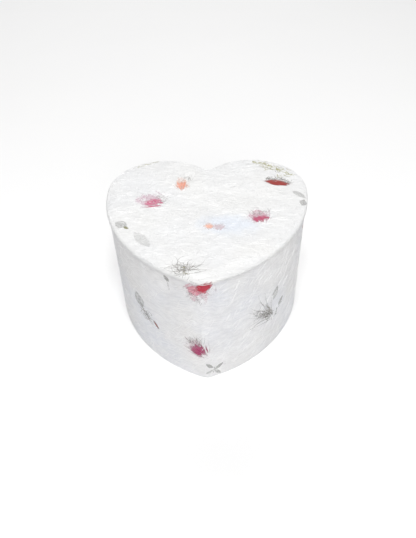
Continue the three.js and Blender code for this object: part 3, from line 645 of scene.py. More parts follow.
def petalFinish(name, look):
    def build(start):
        place = mapPlace(start, "petal")
        across = place.node("ShaderNodeSeparateXYZ", None, {0: place})
        up = Wire(place.tree, across.socket.node.outputs[1])
        moved = place.node("ShaderNodeVectorMath", {"operation": "ADD"}, {0: place, 1: (look["seed"], 0, 0)})
        wobble = speckle(moved, 2.0, 4, 0.6)
        blotch = speckle(moved, 4.2, 5, 0.7, 0.5)
        grit = speckle(moved, 17, 3, 0.7)
        fan = (across - look["root"][0]).maths("ARCTAN2", up - look["root"][1])
        reach = (across ** 2 + up * up).maths("SQRT")
        streakInputs = {0: fan * look["streaks"], 1: reach * 2.2, 2: look["seed"]}
        streakPlace = fan.node("ShaderNodeCombineXYZ", None, streakInputs)
        streak = speckle(streakPlace, 1.0, 3, 0.6)
        edge = 1 - reach + (streak - 0.5) * look["feather"] + (wobble - 0.5) * look["ragged"] - 0.12
        body = ramp(edge, 0.0, look["soft"])
        off = ((across - look["core"][0]) ** 2 + ((up - look["core"][1]) * look["coreFlat"]) ** 2).maths("SQRT")
        depth = 1 - off / look["coreSize"] + (blotch - 0.5) * 1.3 + (streak - 0.5) * 1.1
        deep = ramp(depth, 0.0, 0.42)
        tone = tint(ramp(blotch, 0.36, 0.64), look["pale"], look["mid"])
        tone = tint(deep, tone, look["deep"])
        vein = ridge(streak) ** 5
        tone = tint(vein * 0.35, tone, look["vein"])
        tone = tint(ramp(grit, 0.64, 0.74) * look["specks"], tone, look["speck"])
        gaps = ramp(blotch + (grit - 0.5) * 0.3, look["gapFrom"], look["gapFrom"] + 0.12)
        solid = body * (1 - (1 - deep) * look["thin"]) * (1 - gaps * look["gap"] * (1 - 0.6 * deep))
        relief = bumped(streak + blotch, 0.5, 0.25 * mm)
        return {"Base Color": tone, "Alpha": solid * look["strength"], "Normal": relief}
    return floraFinish(name, build)


plainPetal = {"streaks": 9.0, "root": (0.0, -1.3), "feather": 1.3, "ragged": 0.9, "soft": 0.5,
              "core": (0.0, -0.1), "coreSize": 0.75, "coreFlat": 1.0, "gapFrom": 0.54, "gap": 0.8, "thin": 0.45,
              "specks": 0.3, "speck": (0.16, 0.05, 0.05), "strength": 0.97, "vein": (0.78, 0.4, 0.46),
              "pale": (0.84, 0.62, 0.66)}


def petal(where, middle, size, turn, seed, deep, mid, **more):
    spec = {"where": where, "middle": middle, "size": size, "turn": turn, "seed": seed, "deep": deep, "mid": mid}
    return {**plainPetal, **spec, **more}


# Each pressed piece: where it lies, its middle, its size in millimetres, its turn in degrees, its seed,
# its deepest colour and its middle colour.
petals = {
    "mauvePetal": petal("top", (-40.5, 10.5), (25, 26), 62, 3.1, (0.52, 0.07, 0.17), (0.58, 0.3, 0.4), gap=0.9,
            gapFrom=0.5, vein=(0.8, 0.62, 0.68), pale=(0.74, 0.58, 0.66), core=(-0.2, -0.35), coreSize=0.62,
            feather=1.6, root=(0.3, -1.4)),
    "coralPetal": petal("top", (-19.3, 31.8), (14, 21), 6, 8.4, (0.74, 0.3, 0.21), (0.76, 0.46, 0.38),
            gapFrom=0.52, vein=(0.82, 0.62, 0.54), pale=(0.93, 0.68, 0.58), core=(0.0, -0.35), coreSize=0.7,
            specks=0.0),
    "redSlit": petal("top", (52.8, 32.6), (24, 10), -15, 5.2, (0.27, 0.02, 0.022), (0.38, 0.06, 0.05),
            streaks=14.0, vein=(0.5, 0.15, 0.11), gap=0.25, pale=(0.45, 0.35, 0.34), ragged=0.4, feather=0.5,
            soft=0.3, coreSize=1.25, core=(0, -0.15), thin=0.2, coreFlat=0.9, root=(-2.2, 0.2)),
    "magentaPetal": petal("top", (37.5, -9.8), (24, 20), 14, 1.7, (0.42, 0.02, 0.09), (0.52, 0.14, 0.23),
            gap=0.8, vein=(0.66, 0.34, 0.43), pale=(0.66, 0.58, 0.62), core=(0.0, -0.35), coreSize=0.62,
            feather=1.7, coreFlat=1.3),
    "smallCoral": petal("top", (2.7, -20.6), (9.5, 10), 20, 9.9, (0.8, 0.4, 0.31), (0.84, 0.56, 0.47),
            pale=(0.86, 0.7, 0.63), specks=0.0, vein=(0.92, 0.68, 0.58), coreSize=0.6),
    "faintPetal": petal("top", (9.5, -21.5), (14, 11), 0, 6.1, (0.72, 0.5, 0.52), (0.78, 0.68, 0.68), gap=0.9,
            gapFrom=0.48, pale=(0.8, 0.76, 0.76), vein=(0.7, 0.66, 0.66), strength=0.5, specks=0.5),
    "crimsonVeil": petal("band", (-4.4, 87.0), (29, 22), 8, 4.6, (0.56, 0.16, 0.22), (0.62, 0.3, 0.37),
            gap=0.85, gapFrom=0.47, vein=(0.8, 0.62, 0.66), pale=(0.76, 0.62, 0.66), core=(-0.1, 0.1),
            coreSize=0.5, specks=0.7, feather=1.5, root=(0.9, 1.4)),
    "crimsonPetal": petal("band", (0.6, 91.2), (19, 11.5), 26, 2.9, (0.4, 0.012, 0.035), (0.5, 0.05, 0.09),
            gap=0.3, gapFrom=0.6, vein=(0.62, 0.14, 0.18), pale=(0.7, 0.3, 0.34), coreSize=1.0, core=(0.1, 0.0),
            thin=0.25, feather=0.9, coreFlat=1.3, root=(1.5, 0.6), lift=0.09),
    "lowMagenta": petal("side", (-6.4, 31.2), (23, 23), 42, 12.3, (0.28, 0.003, 0.075), (0.4, 0.03, 0.14),
            gap=0.6, gapFrom=0.58, vein=(0.66, 0.26, 0.38), pale=(0.55, 0.46, 0.5), core=(0.0, -0.3),
            coreSize=0.72, feather=1.5, thin=0.6, specks=0.6, speck=(0.55, 0.12, 0.04)),
    "darkSlit": petal("side", (-41.8, 36), (11, 3.6), -50, 2.2, (0.26, 0.02, 0.02), (0.22, 0.12, 0.1), gap=0.3,
            vein=(0.2, 0.22, 0.16), coreSize=0.8, pale=(0.26, 0.25, 0.23), feather=0.6, thin=0.2, ragged=0.5),
    "rimPetal": petal("side", (108.5, 81), (5, 13), 8, 7.7, (0.34, 0.12, 0.1), (0.48, 0.3, 0.27), gap=0.6,
            vein=(0.4, 0.34, 0.3), strength=0.85),
    "backPetal": petal("side", (-178, 52), (20, 18), 30, 14.2, (0.5, 0.03, 0.09), (0.68, 0.24, 0.3),
            vein=(0.8, 0.5, 0.52)),
    "backCoral": petal("side", (172, 40), (15, 19), -20, 16.8, (0.82, 0.28, 0.16), (0.88, 0.5, 0.37),
            specks=0.0, vein=(0.93, 0.68, 0.56), pale=(0.92, 0.68, 0.6)),
    "sidePetal": petal("side", (128, 30), (20, 17), 60, 18.5, (0.52, 0.07, 0.18), (0.66, 0.34, 0.44),
            vein=(0.8, 0.56, 0.62)),
    "leftPetal": petal("side", (-128, 62), (18, 16), -70, 21.3, (0.44, 0.02, 0.08), (0.62, 0.16, 0.24),
            vein=(0.76, 0.42, 0.48)),
}


def leafFinish(name, look):
    def build(start):
        place = mapPlace(start, "petal")
        split = place.node("ShaderNodeSeparateXYZ", None, {0: place})
        across = split
        up = Wire(place.tree, split.socket.node.outputs[1])
        moved = place.node("ShaderNodeVectorMath", {"operation": "ADD"}, {0: place, 1: (look["seed"], 0, 0)})
        wobble = speckle(moved, 3, 4, 0.6)
        width = (1 - up * up).maths("MAXIMUM", 0.0) * 0.85
        edge = width - across.maths("ABSOLUTE") + (wobble - 0.5) * 0.35
        midrib = 1 - ramp(across.maths("ABSOLUTE"), 0.0, 0.07)
        sideVein = ridge((up * 5 + across.maths("ABSOLUTE") * 4).maths("FRACT")) ** 8
        tone = tint(ramp(wobble, 0.35, 0.65), look["deep"], look["mid"])
        tone = tint((midrib + sideVein * 0.4).maths("MINIMUM", 1.0) * 0.6, tone, look["vein"])
        solid = ramp(edge, 0.0, 0.25) * (0.55 + 0.45 * ramp(wobble, 0.3, 0.6)) * look["strength"]
        return {"Base Color": tone, "Alpha": solid, "Normal": bumped(midrib + sideVein, 0.4, 0.2 * mm)}
    return floraFinish(name, build)


plainLeaf = {"deep": (0.36, 0.36, 0.35), "mid": (0.52, 0.52, 0.51), "vein": (0.24, 0.24, 0.22)}


def leaf(where, middle, size, turn, seed, strength, **more):
    spec = {"where": where, "middle": middle, "size": size, "turn": turn, "seed": seed, "strength": strength}
    return {**plainLeaf, **spec, **more}


leaves = {
    "dotLeaf": leaf("top", (-57.6, -17.6), (9, 12), 55, 1.2, 0.4),
    "oliveDot": leaf("top", (-53.6, -21.6), (3.0, 5.0), 55, 2.4, 0.9,
                     deep=(0.22, 0.22, 0.1), mid=(0.36, 0.35, 0.2)),
    "faintLeaf": leaf("top", (-41.4, -34.4), (10, 22), 38, 3.3, 0.22),
    "rightLeaf": leaf("top", (67.6, 17.6), (7, 13), 52, 4.1, 0.36),
    "rightLeafLow": leaf("top", (69.6, 7.8), (7, 9), -20, 4.9, 0.5),
    "crossLeafA": leaf("side", (2.6, 13.2), (4.2, 9), 44, 5.2, 0.75),
    "crossLeafB": leaf("side", (9.9, 10.4), (4.0, 9.5), -52, 6.6, 0.75),
    "crossLeafC": leaf("side", (9.0, 4.6), (4.0, 8), 40, 7.1, 0.45),
    "crossLeafD": leaf("side", (2.6, 6.4), (3.2, 8), -62, 8.3, 0.4),
    "longLeaf": leaf("side", (-59.2, 49.6), (16, 15), 20, 9.4, 0.4),
    "roundLeaf": leaf("side", (60.8, 55), (9, 13), -22, 10.8, 0.4),
    "rimLeaf": leaf("side", (-26.5, 89.6), (4.4, 6), 48, 11.3, 0.75),
    "darkLeaf": leaf("side", (69, 41), (6, 9), -48, 12.5, 0.6),
    "rearLeafA": leaf("side", (-150, 70), (6, 15), 50, 13.5, 0.6),
    "rearLeafB": leaf("side", (150, 66), (5, 13), -35, 15.1, 0.6),
    "rearLeafC": leaf("side", (205, 30), (6, 12), 15, 16.4, 0.5),
    "rearLeafD": leaf("side", (-205, 66), (5, 12), -15, 17.2, 0.55),
}

# Where a pressed piece may lie: the wall below the lid, and the lid's own edge.
heightRange = {
    "top": (-1.0, 1.0),
    "side": (0.6 * mm, wallHigh.z - 0.8 * mm),
    "edge": (lidLow.z + 0.6 * mm, lidHigh.z - 1.6 * mm),
}


def makePatch(name, spec, finish, where):
    steps = 22
    width, height = (value * mm for value in spec["size"])
    turn = math.radians(spec["turn"])
    low, high = heightRange[where]
    centreX, centreY = (value * mm for value in spec["middle"])
    vertices = []
    flat = []
    beyond = []
    for row in range(steps + 1):
        for column in range(steps + 1):
            a = 2.5 * (column / steps - 0.5) * width / 2
            b = 2.5 * (row / steps - 0.5) * height / 2
            x = centreX + a * math.cos(turn) - b * math.sin(turn)
            y = centreY + a * math.sin(turn) + b * math.cos(turn)
            beyond.append(y < low - 0.8 * mm or y > high + 0.8 * mm)
            y = min(max(y, low), high)
            vertices.append(onPaper(where, x, y, spec.get("lift", 0.05) * mm))
            a = (x - centreX) * math.cos(turn) + (y - centreY) * math.sin(turn)
            b = (y - centreY) * math.cos(turn) - (x - centreX) * math.sin(turn)
            flat.append((a * 2 / width, b * 2 / height))
    faces = []
    for row in range(steps):
        for column in range(steps):
            corner = row * (steps + 1) + column
            face = (corner, corner + 1, corner + steps + 2, corner + steps + 1)
            if not any(beyond[index] for index in face):
                faces.append(face)
    used = sorted({index for face in faces for index in face})
    newIndex = {old: new for new, old in enumerate(used)}
    faces = [tuple(newIndex[index] for index in face) for face in faces]
    patch = addPiece(name, [vertices[index] for index in used], faces, finish)
    layer = patch.data.uv_layers.new(name="petal")
    for loop in patch.data.loops:
        layer.data[loop.index].uv = flat[used[loop.vertex_index]]
    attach(patch, "case" if where == "side" else "lid")


def pressDown(name, spec, finish):
    if spec["where"] == "band":
        makePatch(name + "OnEdge", spec, finish, "edge")
        makePatch(name + "OnWall", spec, finish, "side")
    else:
        makePatch(name, spec, finish, spec["where"])


for name, spec in petals.items():
    pressDown(name, spec, petalFinish(name, spec))
for name, spec in leaves.items():
    pressDown(name, spec, leafFinish(name, spec))
print("petals and leaves pressed:", len(petals) + len(leaves))


# Stems, hairs and feathery heads.
def stemFinish(name, dark, light, strength):
    def build(start):
        place = objectPlace(start)
        cloud = speckle(place, 420, 3)
        return {"Base Color": tint(ramp(cloud, 0.35, 0.65), dark, light),
                "Alpha": strength * (0.55 + 0.45 * ramp(speckle(place, 260, 2), 0.3, 0.6))}
    return floraFinish(name, build)


stemFinishes = {
    "greyStem": stemFinish("greyStem", (0.33, 0.32, 0.305), (0.48, 0.465, 0.445), 0.44),
    "oliveStem": stemFinish("oliveStem", (0.34, 0.33, 0.12), (0.52, 0.50, 0.26), 0.7),
    "paleStem": stemFinish("paleStem", (0.40, 0.385, 0.37), (0.55, 0.535, 0.515), 0.36),
}


# A strand starts at a place, heads off at an angle and bends as it goes; all in millimetres and degrees.
def strandLine(start, heading, length, bend, steps=7):
    x, y = start
    points = [(x, y)]
    for step in range(steps):
        angle = math.radians(heading + bend * (step + 0.5) / steps)
        x += math.cos(angle) * length / steps
        y += math.sin(angle) * length / steps
        points.append((x, y))
    return points


def fanLines(spec, draw):
    lines = []
    for root in spec["roots"]:
        for _ in range(spec["count"]):
            heading = draw.uniform(*spec["heading"])
            length = draw.uniform(*spec["length"])
            start = (root[0] + draw.gauss(0, spec["scatter"]), root[1] + draw.gauss(0, spec["scatter"]))
            line = strandLine(start, heading, length, draw.uniform(-1, 1) * spec["bend"])
            lines.append([(root[0] + (x - root[0]) * spec["wide"], y) for x, y in line])
    return lines


def fernLines(spec, draw):
    path = spec["path"]
    lines = [path]
    for (x0, y0), (x1, y1) in zip(path, path[1:]):
        length = math.hypot(x1 - x0, y1 - y0)
        heading = math.degrees(math.atan2(y1 - y0, x1 - x0))
        for step in range(max(1, round(length / spec["every"]))):
            share = (step + draw.uniform(0.1, 0.9)) * spec["every"] / length
            side = draw.choice((-1, 1))
            aside = draw.gauss(0, spec["scatter"])
            forward = draw.gauss(0, spec["scatter"])
            start = (x0 + (x1 - x0) * share + aside, y0 + (y1 - y0) * share + forward)
            turn = side * draw.uniform(35, 80)
            lines.append(strandLine(start, heading + turn, draw.uniform(*spec["length"]), -side * spec["bend"]))
    return lines


def fan(where, finish, roots, count, scatter, heading, length, bend, width, seed, wide=1.0):
    return {"kind": fanLines, "where": where, "finish": finish, "roots": roots, "count": count, "scatter": scatter,
            "heading": heading, "length": length, "bend": bend, "width": width, "seed": seed, "wide": wide}


def fern(where, finish, path, every, length, bend, width, seed, scatter=0.0):
    return {"kind": fernLines, "where": where, "finish": finish, "path": path, "every": every, "length": length,
            "bend": bend, "width": width, "seed": seed, "scatter": scatter}


# A fan spreads from its roots; a fern has side strands along its path.
strandPieces = {
    "tuftHead": fan("top", "greyStem", [(-11.2, -63.2)], 58, 2.0, (-25, 205), (3.5, 9), 90, 0.55, 11, wide=1.45),
    "tuftLow": fan("top", "paleStem", [(-11.2, -64.5)], 22, 1.0, (150, 390), (3, 8), 50, 0.4, 12),
    "tuftStem": fern("top", "oliveStem", [(-11, -61.5), (-11.4, -64), (-10.6, -67.5)], 1.6, (1.0, 2.4), 20,
            0.6, 13),
    "tuftFoot": fern("edge", "greyStem", [(-9.5, 97.5), (-8, 95.5)], 1.2, (1.0, 2.6), 20, 0.5, 14),
    "backFern": fern("top", "oliveStem",
            [(36, 64.5), (42, 60), (46, 59.5), (50, 55), (55, 53), (58, 49), (63, 45)], 0.8, (3.0, 10.0), 190,
            0.6, 15, scatter=2.4),
    "backFernPale": fern("top", "greyStem", [(40, 57), (48, 53), (56, 47)], 1.2, (2.0, 5.0), 110, 0.4, 16),
    "leftStem": fern("top", "oliveStem", [(-56, 57), (-50, 61), (-44, 64), (-39, 66.2)], 2.6, (1.5, 4.5), 40,
            0.5, 17),
    "rightSprig": fan("side", "paleStem", [(57.5, 35.5), (54, 38)], 27, 1.8, (96, 172), (9, 27), 45, 0.75, 18),
    "rightSprigLow": fan("side", "paleStem", [(57, 35.5), (48, 43), (44, 49)], 9, 1.5, (130, 300), (3, 8), 60,
            0.7, 19),
    "rightSprigStem": fern("side", "greyStem", [(61, 30), (66, 36), (70, 38.5)], 2.4, (2, 4), 30, 1.2, 20),
    "leftSprig": fan("side", "greyStem", [(-54, 42), (-50, 38)], 20, 1.2, (40, 330), (2.5, 7), 60, 0.55, 21,
            wide=2.2),
    "leftSprigStem": fern("side", "greyStem", [(-59, 50), (-55, 44), (-47, 36)], 2.2, (1.5, 4), 30, 0.55, 22),
    "rimStem": fern("side", "greyStem", [(-26.4, 88), (-24.6, 80.5)], 2.4, (1, 2.5), 20, 0.5, 23),
    "crossStem": fern("side", "greyStem", [(6.2, 11.2), (6.4, 8.2), (5.2, 3.2)], 3.5, (1, 2.5), 20, 0.6, 24),
    "slitHair": fan("top", "greyStem", [(46, 38), (50, 37.5), (54, 36.5), (58, 35), (61, 32)], 20, 1.3,
            (-20, 110), (1.5, 4), 30, 0.7, 25),
    "magentaHair": fan("top", "greyStem", [(33, -8), (37.5, -8), (42, -6)], 10, 1.0, (45, 135), (3, 7.5), 30,
            0.3, 26),
    "lowHair": fan("side", "greyStem", [(-11, 35), (-7, 37.5), (-3, 36)], 14, 1.2, (60, 165), (3, 8), 35, 0.36,
            27),
    "veilHair": fan("side", "greyStem", [(-9, 84), (-3, 81.5)], 12, 1.8, (170, 300), (2, 5), 30, 0.3, 28),
    "mauveHair": fan("top", "paleStem", [(-36, 14), (-32, 10)], 12, 1.8, (-30, 80), (3, 8), 30, 0.36, 29),
    "coralHair": fan("top", "paleStem", [(-17, 38), (-13, 36)], 10, 1.4, (10, 110), (3, 9), 40, 0.36, 30),
    "rearSprig": fan("side", "greyStem", [(190, 62), (194, 58)], 26, 1.8, (20, 170), (5, 13), 50, 0.42, 31),
    "rearFern": fern("side", "oliveStem", [(-172, 26), (-180, 34), (-190, 38)], 1.0, (2, 6), 120, 0.55, 32),
    "sideSprig": fan("side", "greyStem", [(-132, 30), (-128, 34)], 24, 1.6, (30, 200), (4, 11), 50, 0.42, 33),
}


def makeStrands(name, spec):
    draw = random.Random(spec["seed"])
    lines = spec["kind"](spec, draw)
    low, high = heightRange[spec["where"]]
    vertices = []
    faces = []
    for line in lines:
        first = len(vertices)
        lift = draw.uniform(0.06, 0.14) * mm
        for index, (x, y) in enumerate(line):
            x1, y1 = line[min(index + 1, len(line) - 1)]
            x0, y0 = line[max(index - 1, 0)]
            length = math.hypot(x1 - x0, y1 - y0) or 1.0
            half = 0.5 * spec["width"] * (1 - 0.75 * index / (len(line) - 1))
            for side in (-1, 1):
                acrossPlace = (x - side * half * (y1 - y0) / length) * mm
                upPlace = min(max((y + side * half * (x1 - x0) / length) * mm, low), high)
                vertices.append(onPaper(spec["where"], acrossPlace, upPlace, lift))
        for index in range(len(line) - 1):
            corner = first + 2 * index
            faces.append((corner, corner + 2, corner + 3, corner + 1))
    piece = addPiece(name, vertices, faces, stemFinishes[spec["finish"]])
    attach(piece, "case" if spec["where"] == "side" else "lid")


for name, spec in strandPieces.items():
    makeStrands(name, spec)
print("stems and hairs pressed:", len(strandPieces))


# Long paper fibres, laid by Geometry Nodes.
fibreSettings = {
    "wallFibres": {"density": 17000, "length": 10 * mm, "radius": 0.11 * mm, "wander": 3.4 * mm,
                   "lean": (0.2, 1.2), "seed": 5},
    "lidFibres": {"density": 15000, "length": 8 * mm, "radius": 0.11 * mm, "wander": 4.2 * mm,
                  "lean": (-0.5, 0.5), "seed": 9},
}


class Graph:
    def __init__(self, name):
        self.tree = bpy.data.node_groups.new(name, "GeometryNodeTree")
        self.sockets = {}

    def entry(self, name, kind):
        self.sockets[name] = self.tree.interface.new_socket(name, in_out="INPUT", socket_type=kind)

    def add(self, kind, settings=None, inputs=None):
        made = self.tree.nodes.new(kind)
        for key, value in (settings or {}).items():
            setattr(made, key, value)
        for key, value in (inputs or {}).items():
            if isinstance(value, bpy.types.NodeSocket):
                self.tree.links.new(value, made.inputs[key])
            else:
                made.inputs[key].default_value = value
        return made


def fibreTree():
    graph = Graph("paperFibres")
    graph.entry("Geometry", "NodeSocketGeometry")
    for name in ("Density", "Length", "Radius", "Wander", "LeanLow", "LeanHigh"):
        graph.entry(name, "NodeSocketFloat")
    graph.entry("Seed", "NodeSocketInt")
    graph.entry("Upright", "NodeSocketVector")
    graph.entry("Finish", "NodeSocketMaterial")
    graph.tree.interface.new_socket("Geometry", in_out="OUTPUT", socket_type="NodeSocketGeometry")
    source = graph.add("NodeGroupInput").outputs
    spread = graph.add("GeometryNodeDistributePointsOnFaces", None,
                       {"Mesh": source["Geometry"], "Density": source["Density"], "Seed": source["Seed"]})
    half = graph.add("ShaderNodeMath", {"operation": "MULTIPLY"}, {0: source["Length"], 1: 0.5})
    less = graph.add("ShaderNodeMath", {"operation": "MULTIPLY"}, {0: source["Length"], 1: -0.5})
    startPoint = graph.add("ShaderNodeCombineXYZ", None, {0: less.outputs[0]})
    endPoint = graph.add("ShaderNodeCombineXYZ", None, {0: half.outputs[0]})
    ends = {"Start": startPoint.outputs[0], "End": endPoint.outputs[0]}
    line = graph.add("GeometryNodeCurvePrimitiveLine", None, ends)
    divided = graph.add("GeometryNodeResampleCurve", None, {"Curve": line.outputs[0], "Count": 7})
    onNormal = graph.add("FunctionNodeAlignRotationToVector", {"axis": "Z"}, {"Vector": spread.outputs["Normal"]})
    upright = graph.add("FunctionNodeAlignRotationToVector", {"axis": "Y", "pivot_axis": "Z"},
                        {"Rotation": onNormal.outputs[0], "Vector": source["Upright"]})
    lean = graph.add("FunctionNodeRandomValue", {"data_type": "FLOAT"},
                     {"Min": source["LeanLow"], "Max": source["LeanHigh"], "Seed": source["Seed"]})
    leanValue = next(socket for socket in lean.outputs if socket.enabled)
    spin = graph.add("ShaderNodeCombineXYZ", None, {2: leanValue})
    turned = graph.add("FunctionNodeRotateRotation", {"rotation_space": "LOCAL"},
                       {"Rotation": upright.outputs[0], "Rotate By": spin.outputs[0]})
    size = graph.add("FunctionNodeRandomValue", {"data_type": "FLOAT"}, {"Seed": 3})
    for socket in size.inputs:
        if socket.enabled and socket.name in ("Min", "Max"):
            socket.default_value = 0.35 if socket.name == "Min" else 1.25
    sizeValue = next(socket for socket in size.outputs if socket.enabled)
    placed = graph.add("GeometryNodeInstanceOnPoints", None,
                       {"Points": spread.outputs["Points"], "Instance": divided.outputs[0],
                        "Rotation": turned.outputs[0], "Scale": sizeValue})
    real = graph.add("GeometryNodeRealizeInstances", None, {0: placed.outputs[0]})
    position = graph.add("GeometryNodeInputPosition")
    ripple = graph.add("ShaderNodeTexNoise", None, {"Vector": position.outputs[0], "Scale": 210.0, "Detail": 1.0})
    centred = graph.add("ShaderNodeVectorMath", {"operation": "SUBTRACT"},
                        {0: ripple.outputs["Color"], 1: (0.5, 0.5, 0.5)})
    moved = graph.add("ShaderNodeVectorMath", {"operation": "SCALE"},
                      {0: centred.outputs[0], "Scale": source["Wander"]})
    wavy = graph.add("GeometryNodeSetPosition", None, {"Geometry": real.outputs[0], "Offset": moved.outputs[0]})
    near = graph.add("GeometryNodeProximity", {"target_element": "FACES"}, {0: source["Geometry"]})
    laid = graph.add("GeometryNodeSetPosition", None,
                     {"Geometry": wavy.outputs[0], "Position": near.outputs["Position"]})
    outline = graph.add("GeometryNodeCurvePrimitiveCircle", None, {"Resolution": 4, "Radius": source["Radius"]})
    tube = graph.add("GeometryNodeCurveToMesh", None,
                     {"Curve": laid.outputs[0], "Profile Curve": outline.outputs[0], "Fill Caps": True})
    solid = graph.add("GeometryNodeRealizeInstances", None, {0: tube.outputs[0]})
    dressed = graph.add("GeometryNodeSetMaterial", None,
                        {"Geometry": solid.outputs[0], "Material": source["Finish"]})
    graph.add("NodeGroupOutput", None, {0: dressed.outputs[0]})
    return graph


def makeFibres(name, graph, skin, chosen, upright, body):
    settings = fibreSettings[name]
    corners = [vertex.co.copy() for vertex in skin.data.vertices]
    bed = addPiece(name + "Bed", corners, chosen, finishes["paperStrand"])
    modifier = bed.modifiers.new("fibres", "NODES")
    modifier.node_group = graph.tree
    values = {"Density": float(settings["density"]), "Length": settings["length"], "Radius": settings["radius"],
              "Wander": settings["wander"], "LeanLow": settings["lean"][0], "LeanHigh": settings["lean"][1],
              "Seed": settings["seed"], "Upright": upright, "Finish": finishes["paperStrand"]}
    for key, value in values.items():
        modifier[graph.sockets[key].identifier] = value
    bpy.context.view_layer.update()
    result = bed.evaluated_get(bpy.context.evaluated_depsgraph_get())
    mesh = bpy.data.meshes.new_from_object(result)
    bpy.data.objects.remove(bed)
    mesh.name = name
    fibres = bpy.data.objects.new(name, mesh)
    bpy.context.collection.objects.link(fibres)
    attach(fibres, body)
    print(name, len(mesh.polygons), "faces")


def chosenFaces(skin, wanted):
    return [tuple(polygon.vertices) for polygon in skin.data.polygons if wanted(polygon)]


# Fibres lie on the wall's outer face, between its two edges, and on the lid's top.
def onOuterWall(polygon):
    outerCount = len(wallSkin.data.vertices) - 6 * len(heart)    # the last six rings are turned inside
    upright = abs(polygon.normal.z) < 0.5
    return upright and 3 * mm < polygon.center.z < wallHigh.z - 3 * mm and max(polygon.vertices) < outerCount


def onLidTop(polygon):
    return polygon.normal.z > 0.5 and polygon.center.z > lidHigh.z - 1.6 * mm


graph = fibreTree()
makeFibres("wallFibres", graph, wallSkin, chosenFaces(wallSkin, onOuterWall), (0.0, 0.0, 1.0), "case")
makeFibres("lidFibres", graph, lidSkin, chosenFaces(lidSkin, onLidTop), (0.0, 1.0, 0.0), "lid")


# Velvet pads inside.
padSettings = {
    "deckCushion": {"node": "deck_pad", "body": "case", "seams": 17 * mm, "puff": 1.0 * mm,
                    "fill": 0.5, "cap": 0.5 * mm},
    "lidPad": {"node": "lid_lining", "body": "lid", "seams": 20 * mm, "puff": 0.75 * mm,
               "fill": 0.4, "cap": 0.35 * mm},
}


# How far a place is from the sewn lines, from 0 on a seam to 1 in the middle of a diamond.
def quilt(x, y, seams):
    along = abs(math.sin(math.pi * (x + y) / (seams * math.sqrt(2))))
    across = abs(math.sin(math.pi * (x - y) / (seams * math.sqrt(2))))
    return min(1.0, 1.5 * min(along, across) ** 0.6)


clothScale = 10


# Air pressure swells the cloth between its pinned seams; the cloth is worked at ten times full size.
def swell(piece, held, cap):
    before = [vertex.co.copy() for vertex in piece.data.vertices]
    group = piece.vertex_groups.new(name="sewn")
    group.add(held, 1.0, "REPLACE")
    for vertex, place in zip(piece.data.vertices, before):
        vertex.co = place * clothScale
    cloth = piece.modifiers.new("swell", "CLOTH")
    cloth.settings.use_pressure = True
    cloth.settings.uniform_pressure_force = 4
    cloth.settings.vertex_group_mass = "sewn"
    cloth.settings.effector_weights.gravity = 0
    cloth.settings.quality = 4
    cloth.point_cache.frame_start = 1
    cloth.point_cache.frame_end = 20
    for frameNumber in range(1, 21):
        bpy.context.scene.frame_set(frameNumber)
    result = piece.evaluated_get(bpy.context.evaluated_depsgraph_get())
    after = [vertex.co / clothScale for vertex in result.data.vertices]
    piece.modifiers.remove(cloth)
    bpy.context.scene.frame_set(1)
    for vertex, old, new in zip(piece.data.vertices, before, after):
        move = new - old
        if not move.length < cap:
            move = move.normalized() * cap if move.length > 0 and math.isfinite(move.length) else Vector()
        vertex.co = old + move
    piece.vertex_groups.remove(group)
    piece.data.update()


# The deck's cushion dips where the stop rod comes through it.
rodPlace = (43.7 * mm, 54.7 * mm)
rodDimple = 0.8 * mm


def makePad(name, face):
    settings = padSettings[name]
    low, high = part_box(settings["node"])
    inset = lidHigh.x - high[0]
    base, top = (low[2], high[2]) if face == "up" else (high[2], low[2])
    side = 1 if face == "up" else -1
    depth = abs(top - base)
    rings = [(inset + 0.2 * mm, base), (inset, base + side * 0.3 * mm), (inset, base + side * depth * 0.45)]
    for step in range(1, 5):
        angle = step / 4 * math.pi / 2
        rise = depth * 0.45 + (depth * 0.4) * math.sin(angle)
        rings.append((inset + 0.9 * mm * (1 - math.cos(angle)), base + side * rise))
    flat = rings[-1][1]
    outer = [heartRing(value) for value, _ in rings]
    steps = 46
    vertices = [Vector((x, y, height)) for ring, (_, height) in zip(outer, rings) for x, y in ring]
    held = list(range(len(outer[0]) * 3))
    rim = outer[-1]
    for step in range(1, steps):
        share = 1 - step / steps
        for x, y in heartCentre + (rim - heartCentre) * share:
            soft = quilt(x, y, settings["seams"])
            nearRim = min(1.0, step / 3)
            if soft < 0.45:
                held.append(len(vertices))
            wrinkle = 0.12 * mm * noise.noise(Vector((x, y, 0)) / (2.6 * mm)) * soft
            rise = settings["puff"] * (soft - 0.55) * nearRim + wrinkle
            if face == "up":
                rise = min(rise, 0.45 * mm)
                away = math.hypot(x - rodPlace[0], y - rodPlace[1])
                rise -= rodDimple * max(0.0, 1 - away / (6 * mm))
            vertices.append(Vector((x, y, flat + side * rise)))
    count = len(heart)
    faces = bandFaces(len(vertices) // count, count)
    pole = len(vertices)
    vertices += [Vector((*heartCentre, flat)), Vector((*heartCentre, base))]
    held.append(pole + 1)
    faces += [(pole - count + i, pole - count + (i + 1) % count, pole) for i in range(count)]
    faces += [((i + 1) % count, i, pole + 1) for i in range(count)]
    if face == "down":
        faces = [tuple(reversed(corners)) for corners in faces]
    pad = addPiece(name, vertices, faces, finishes["velvetCloth"])
    swell(pad, held, settings["cap"])
    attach(pad, settings["body"])
    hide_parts(settings["node"])


liningSettings = {"channel": 11.5 * mm, "puff": 0.75 * mm, "rows": 34, "fill": 0.4}


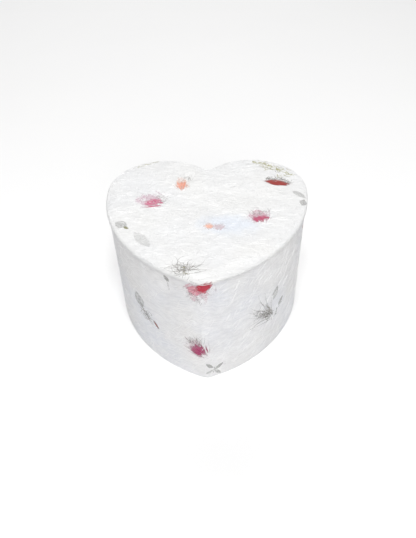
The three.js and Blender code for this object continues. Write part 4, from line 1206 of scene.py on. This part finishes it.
# The wall pad: a closed band with upright sewn channels.
def makeWallPad():
    low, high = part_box("wall_lining")
    outer = lidHigh.x - high[0]
    bottom, top = low[2], high[2]
    channels = round(2 * heartHalf / liningSettings["channel"])
    rows = liningSettings["rows"]
    profile = [(0.0, bottom + 0.3 * mm), (0.0, top - 0.4 * mm), (0.12 * mm, top - 0.1 * mm), (0.4 * mm, top)]
    for row in range(rows + 1):
        profile.append((0.45 * mm, top - 0.25 * mm - (top - bottom - 0.5 * mm) * row / rows))
    profile.append((0.3 * mm, bottom))
    vertices = []
    for depth, height in profile:
        ends = min(1.0, (top - height) / (4 * mm), (height - bottom) / (4 * mm))
        for along, x, y, nx, ny in heart:
            inset = outer + depth
            if depth > 0.42 * mm and ends > 0:
                channel = abs(math.sin(math.pi * channels * along / (2 * heartHalf)))
                pucker = 0.1 * mm * noise.noise(Vector((along / (1.6 * mm), height / (3 * mm), 4)))
                inset += (liningSettings["puff"] * channel ** 0.6 + pucker) * math.sqrt(ends)
            vertices.append(Vector((x - nx * inset, y - ny * inset, height)))
    count = len(heart)
    faces = bandFaces(len(profile), count)
    last = (len(profile) - 1) * count
    faces += [(last + i, last + (i + 1) % count, (i + 1) % count, i) for i in range(count)]
    pad = addPiece("wallPad", vertices, faces, finishes["velvetCloth"])
    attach(pad, "case")
    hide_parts("wall_lining")


makePad("deckCushion", "up")
makePad("lidPad", "down")
makeWallPad()
print("velvet pads made")

# CAD nodes that stay, with a real finish.
nodeFinishes = {
    "greyBoard": ["wall_board", "deck_ledge", "deck_board", "lid_board"],
    "liningPaper": ["base_board"],
    "velvetCloth": ["wall_lining", "deck_pad", "lid_lining"],
    "warmBrass": ["spring_housing", "winding_key", "great_wheel", "cylinder_pinion", "pinned_cylinder",
                  "rod_guide"],
    "giltCasting": ["bedplate"],
    "bluedSpring": ["mainspring", "clutch_spring"],
    "nylon": ["cylinder_wheel", "governor_wheel", "fly"],
    "rubber": ["key_bush"],
}
finishOf = {node: finish for finish, nodes in nodeFinishes.items() for node in nodes}
for name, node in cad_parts.items():
    kind = finishOf.get(name) or ("warmBrass" if name.startswith("hinge") and "pin" not in name else "pressedSteel")
    for slot in node.material_slots:
        slot.material = finishes[kind]

# Floor.
def makeFloor():
    def build(start):
        place = objectPlace(start)
        cloud = speckle(place, 3, 3)
        grain = speckle(place, 600, 3)
        return {"Base Color": tint(cloud, (0.85, 0.85, 0.85), (0.88, 0.88, 0.88)),
                "Normal": bumped(grain, 0.05, 0.1 * mm)}
    finish = makeFinish("floorPaint", build, {"Roughness": 0.8})
    half = 3.0
    corners = [(-half, -half, 0), (half, -half, 0), (half, half, 0), (-half, half, 0)]
    floor = addPiece("floor", corners, [(0, 1, 2, 3)], finish)


makeFloor()
print("floor laid")
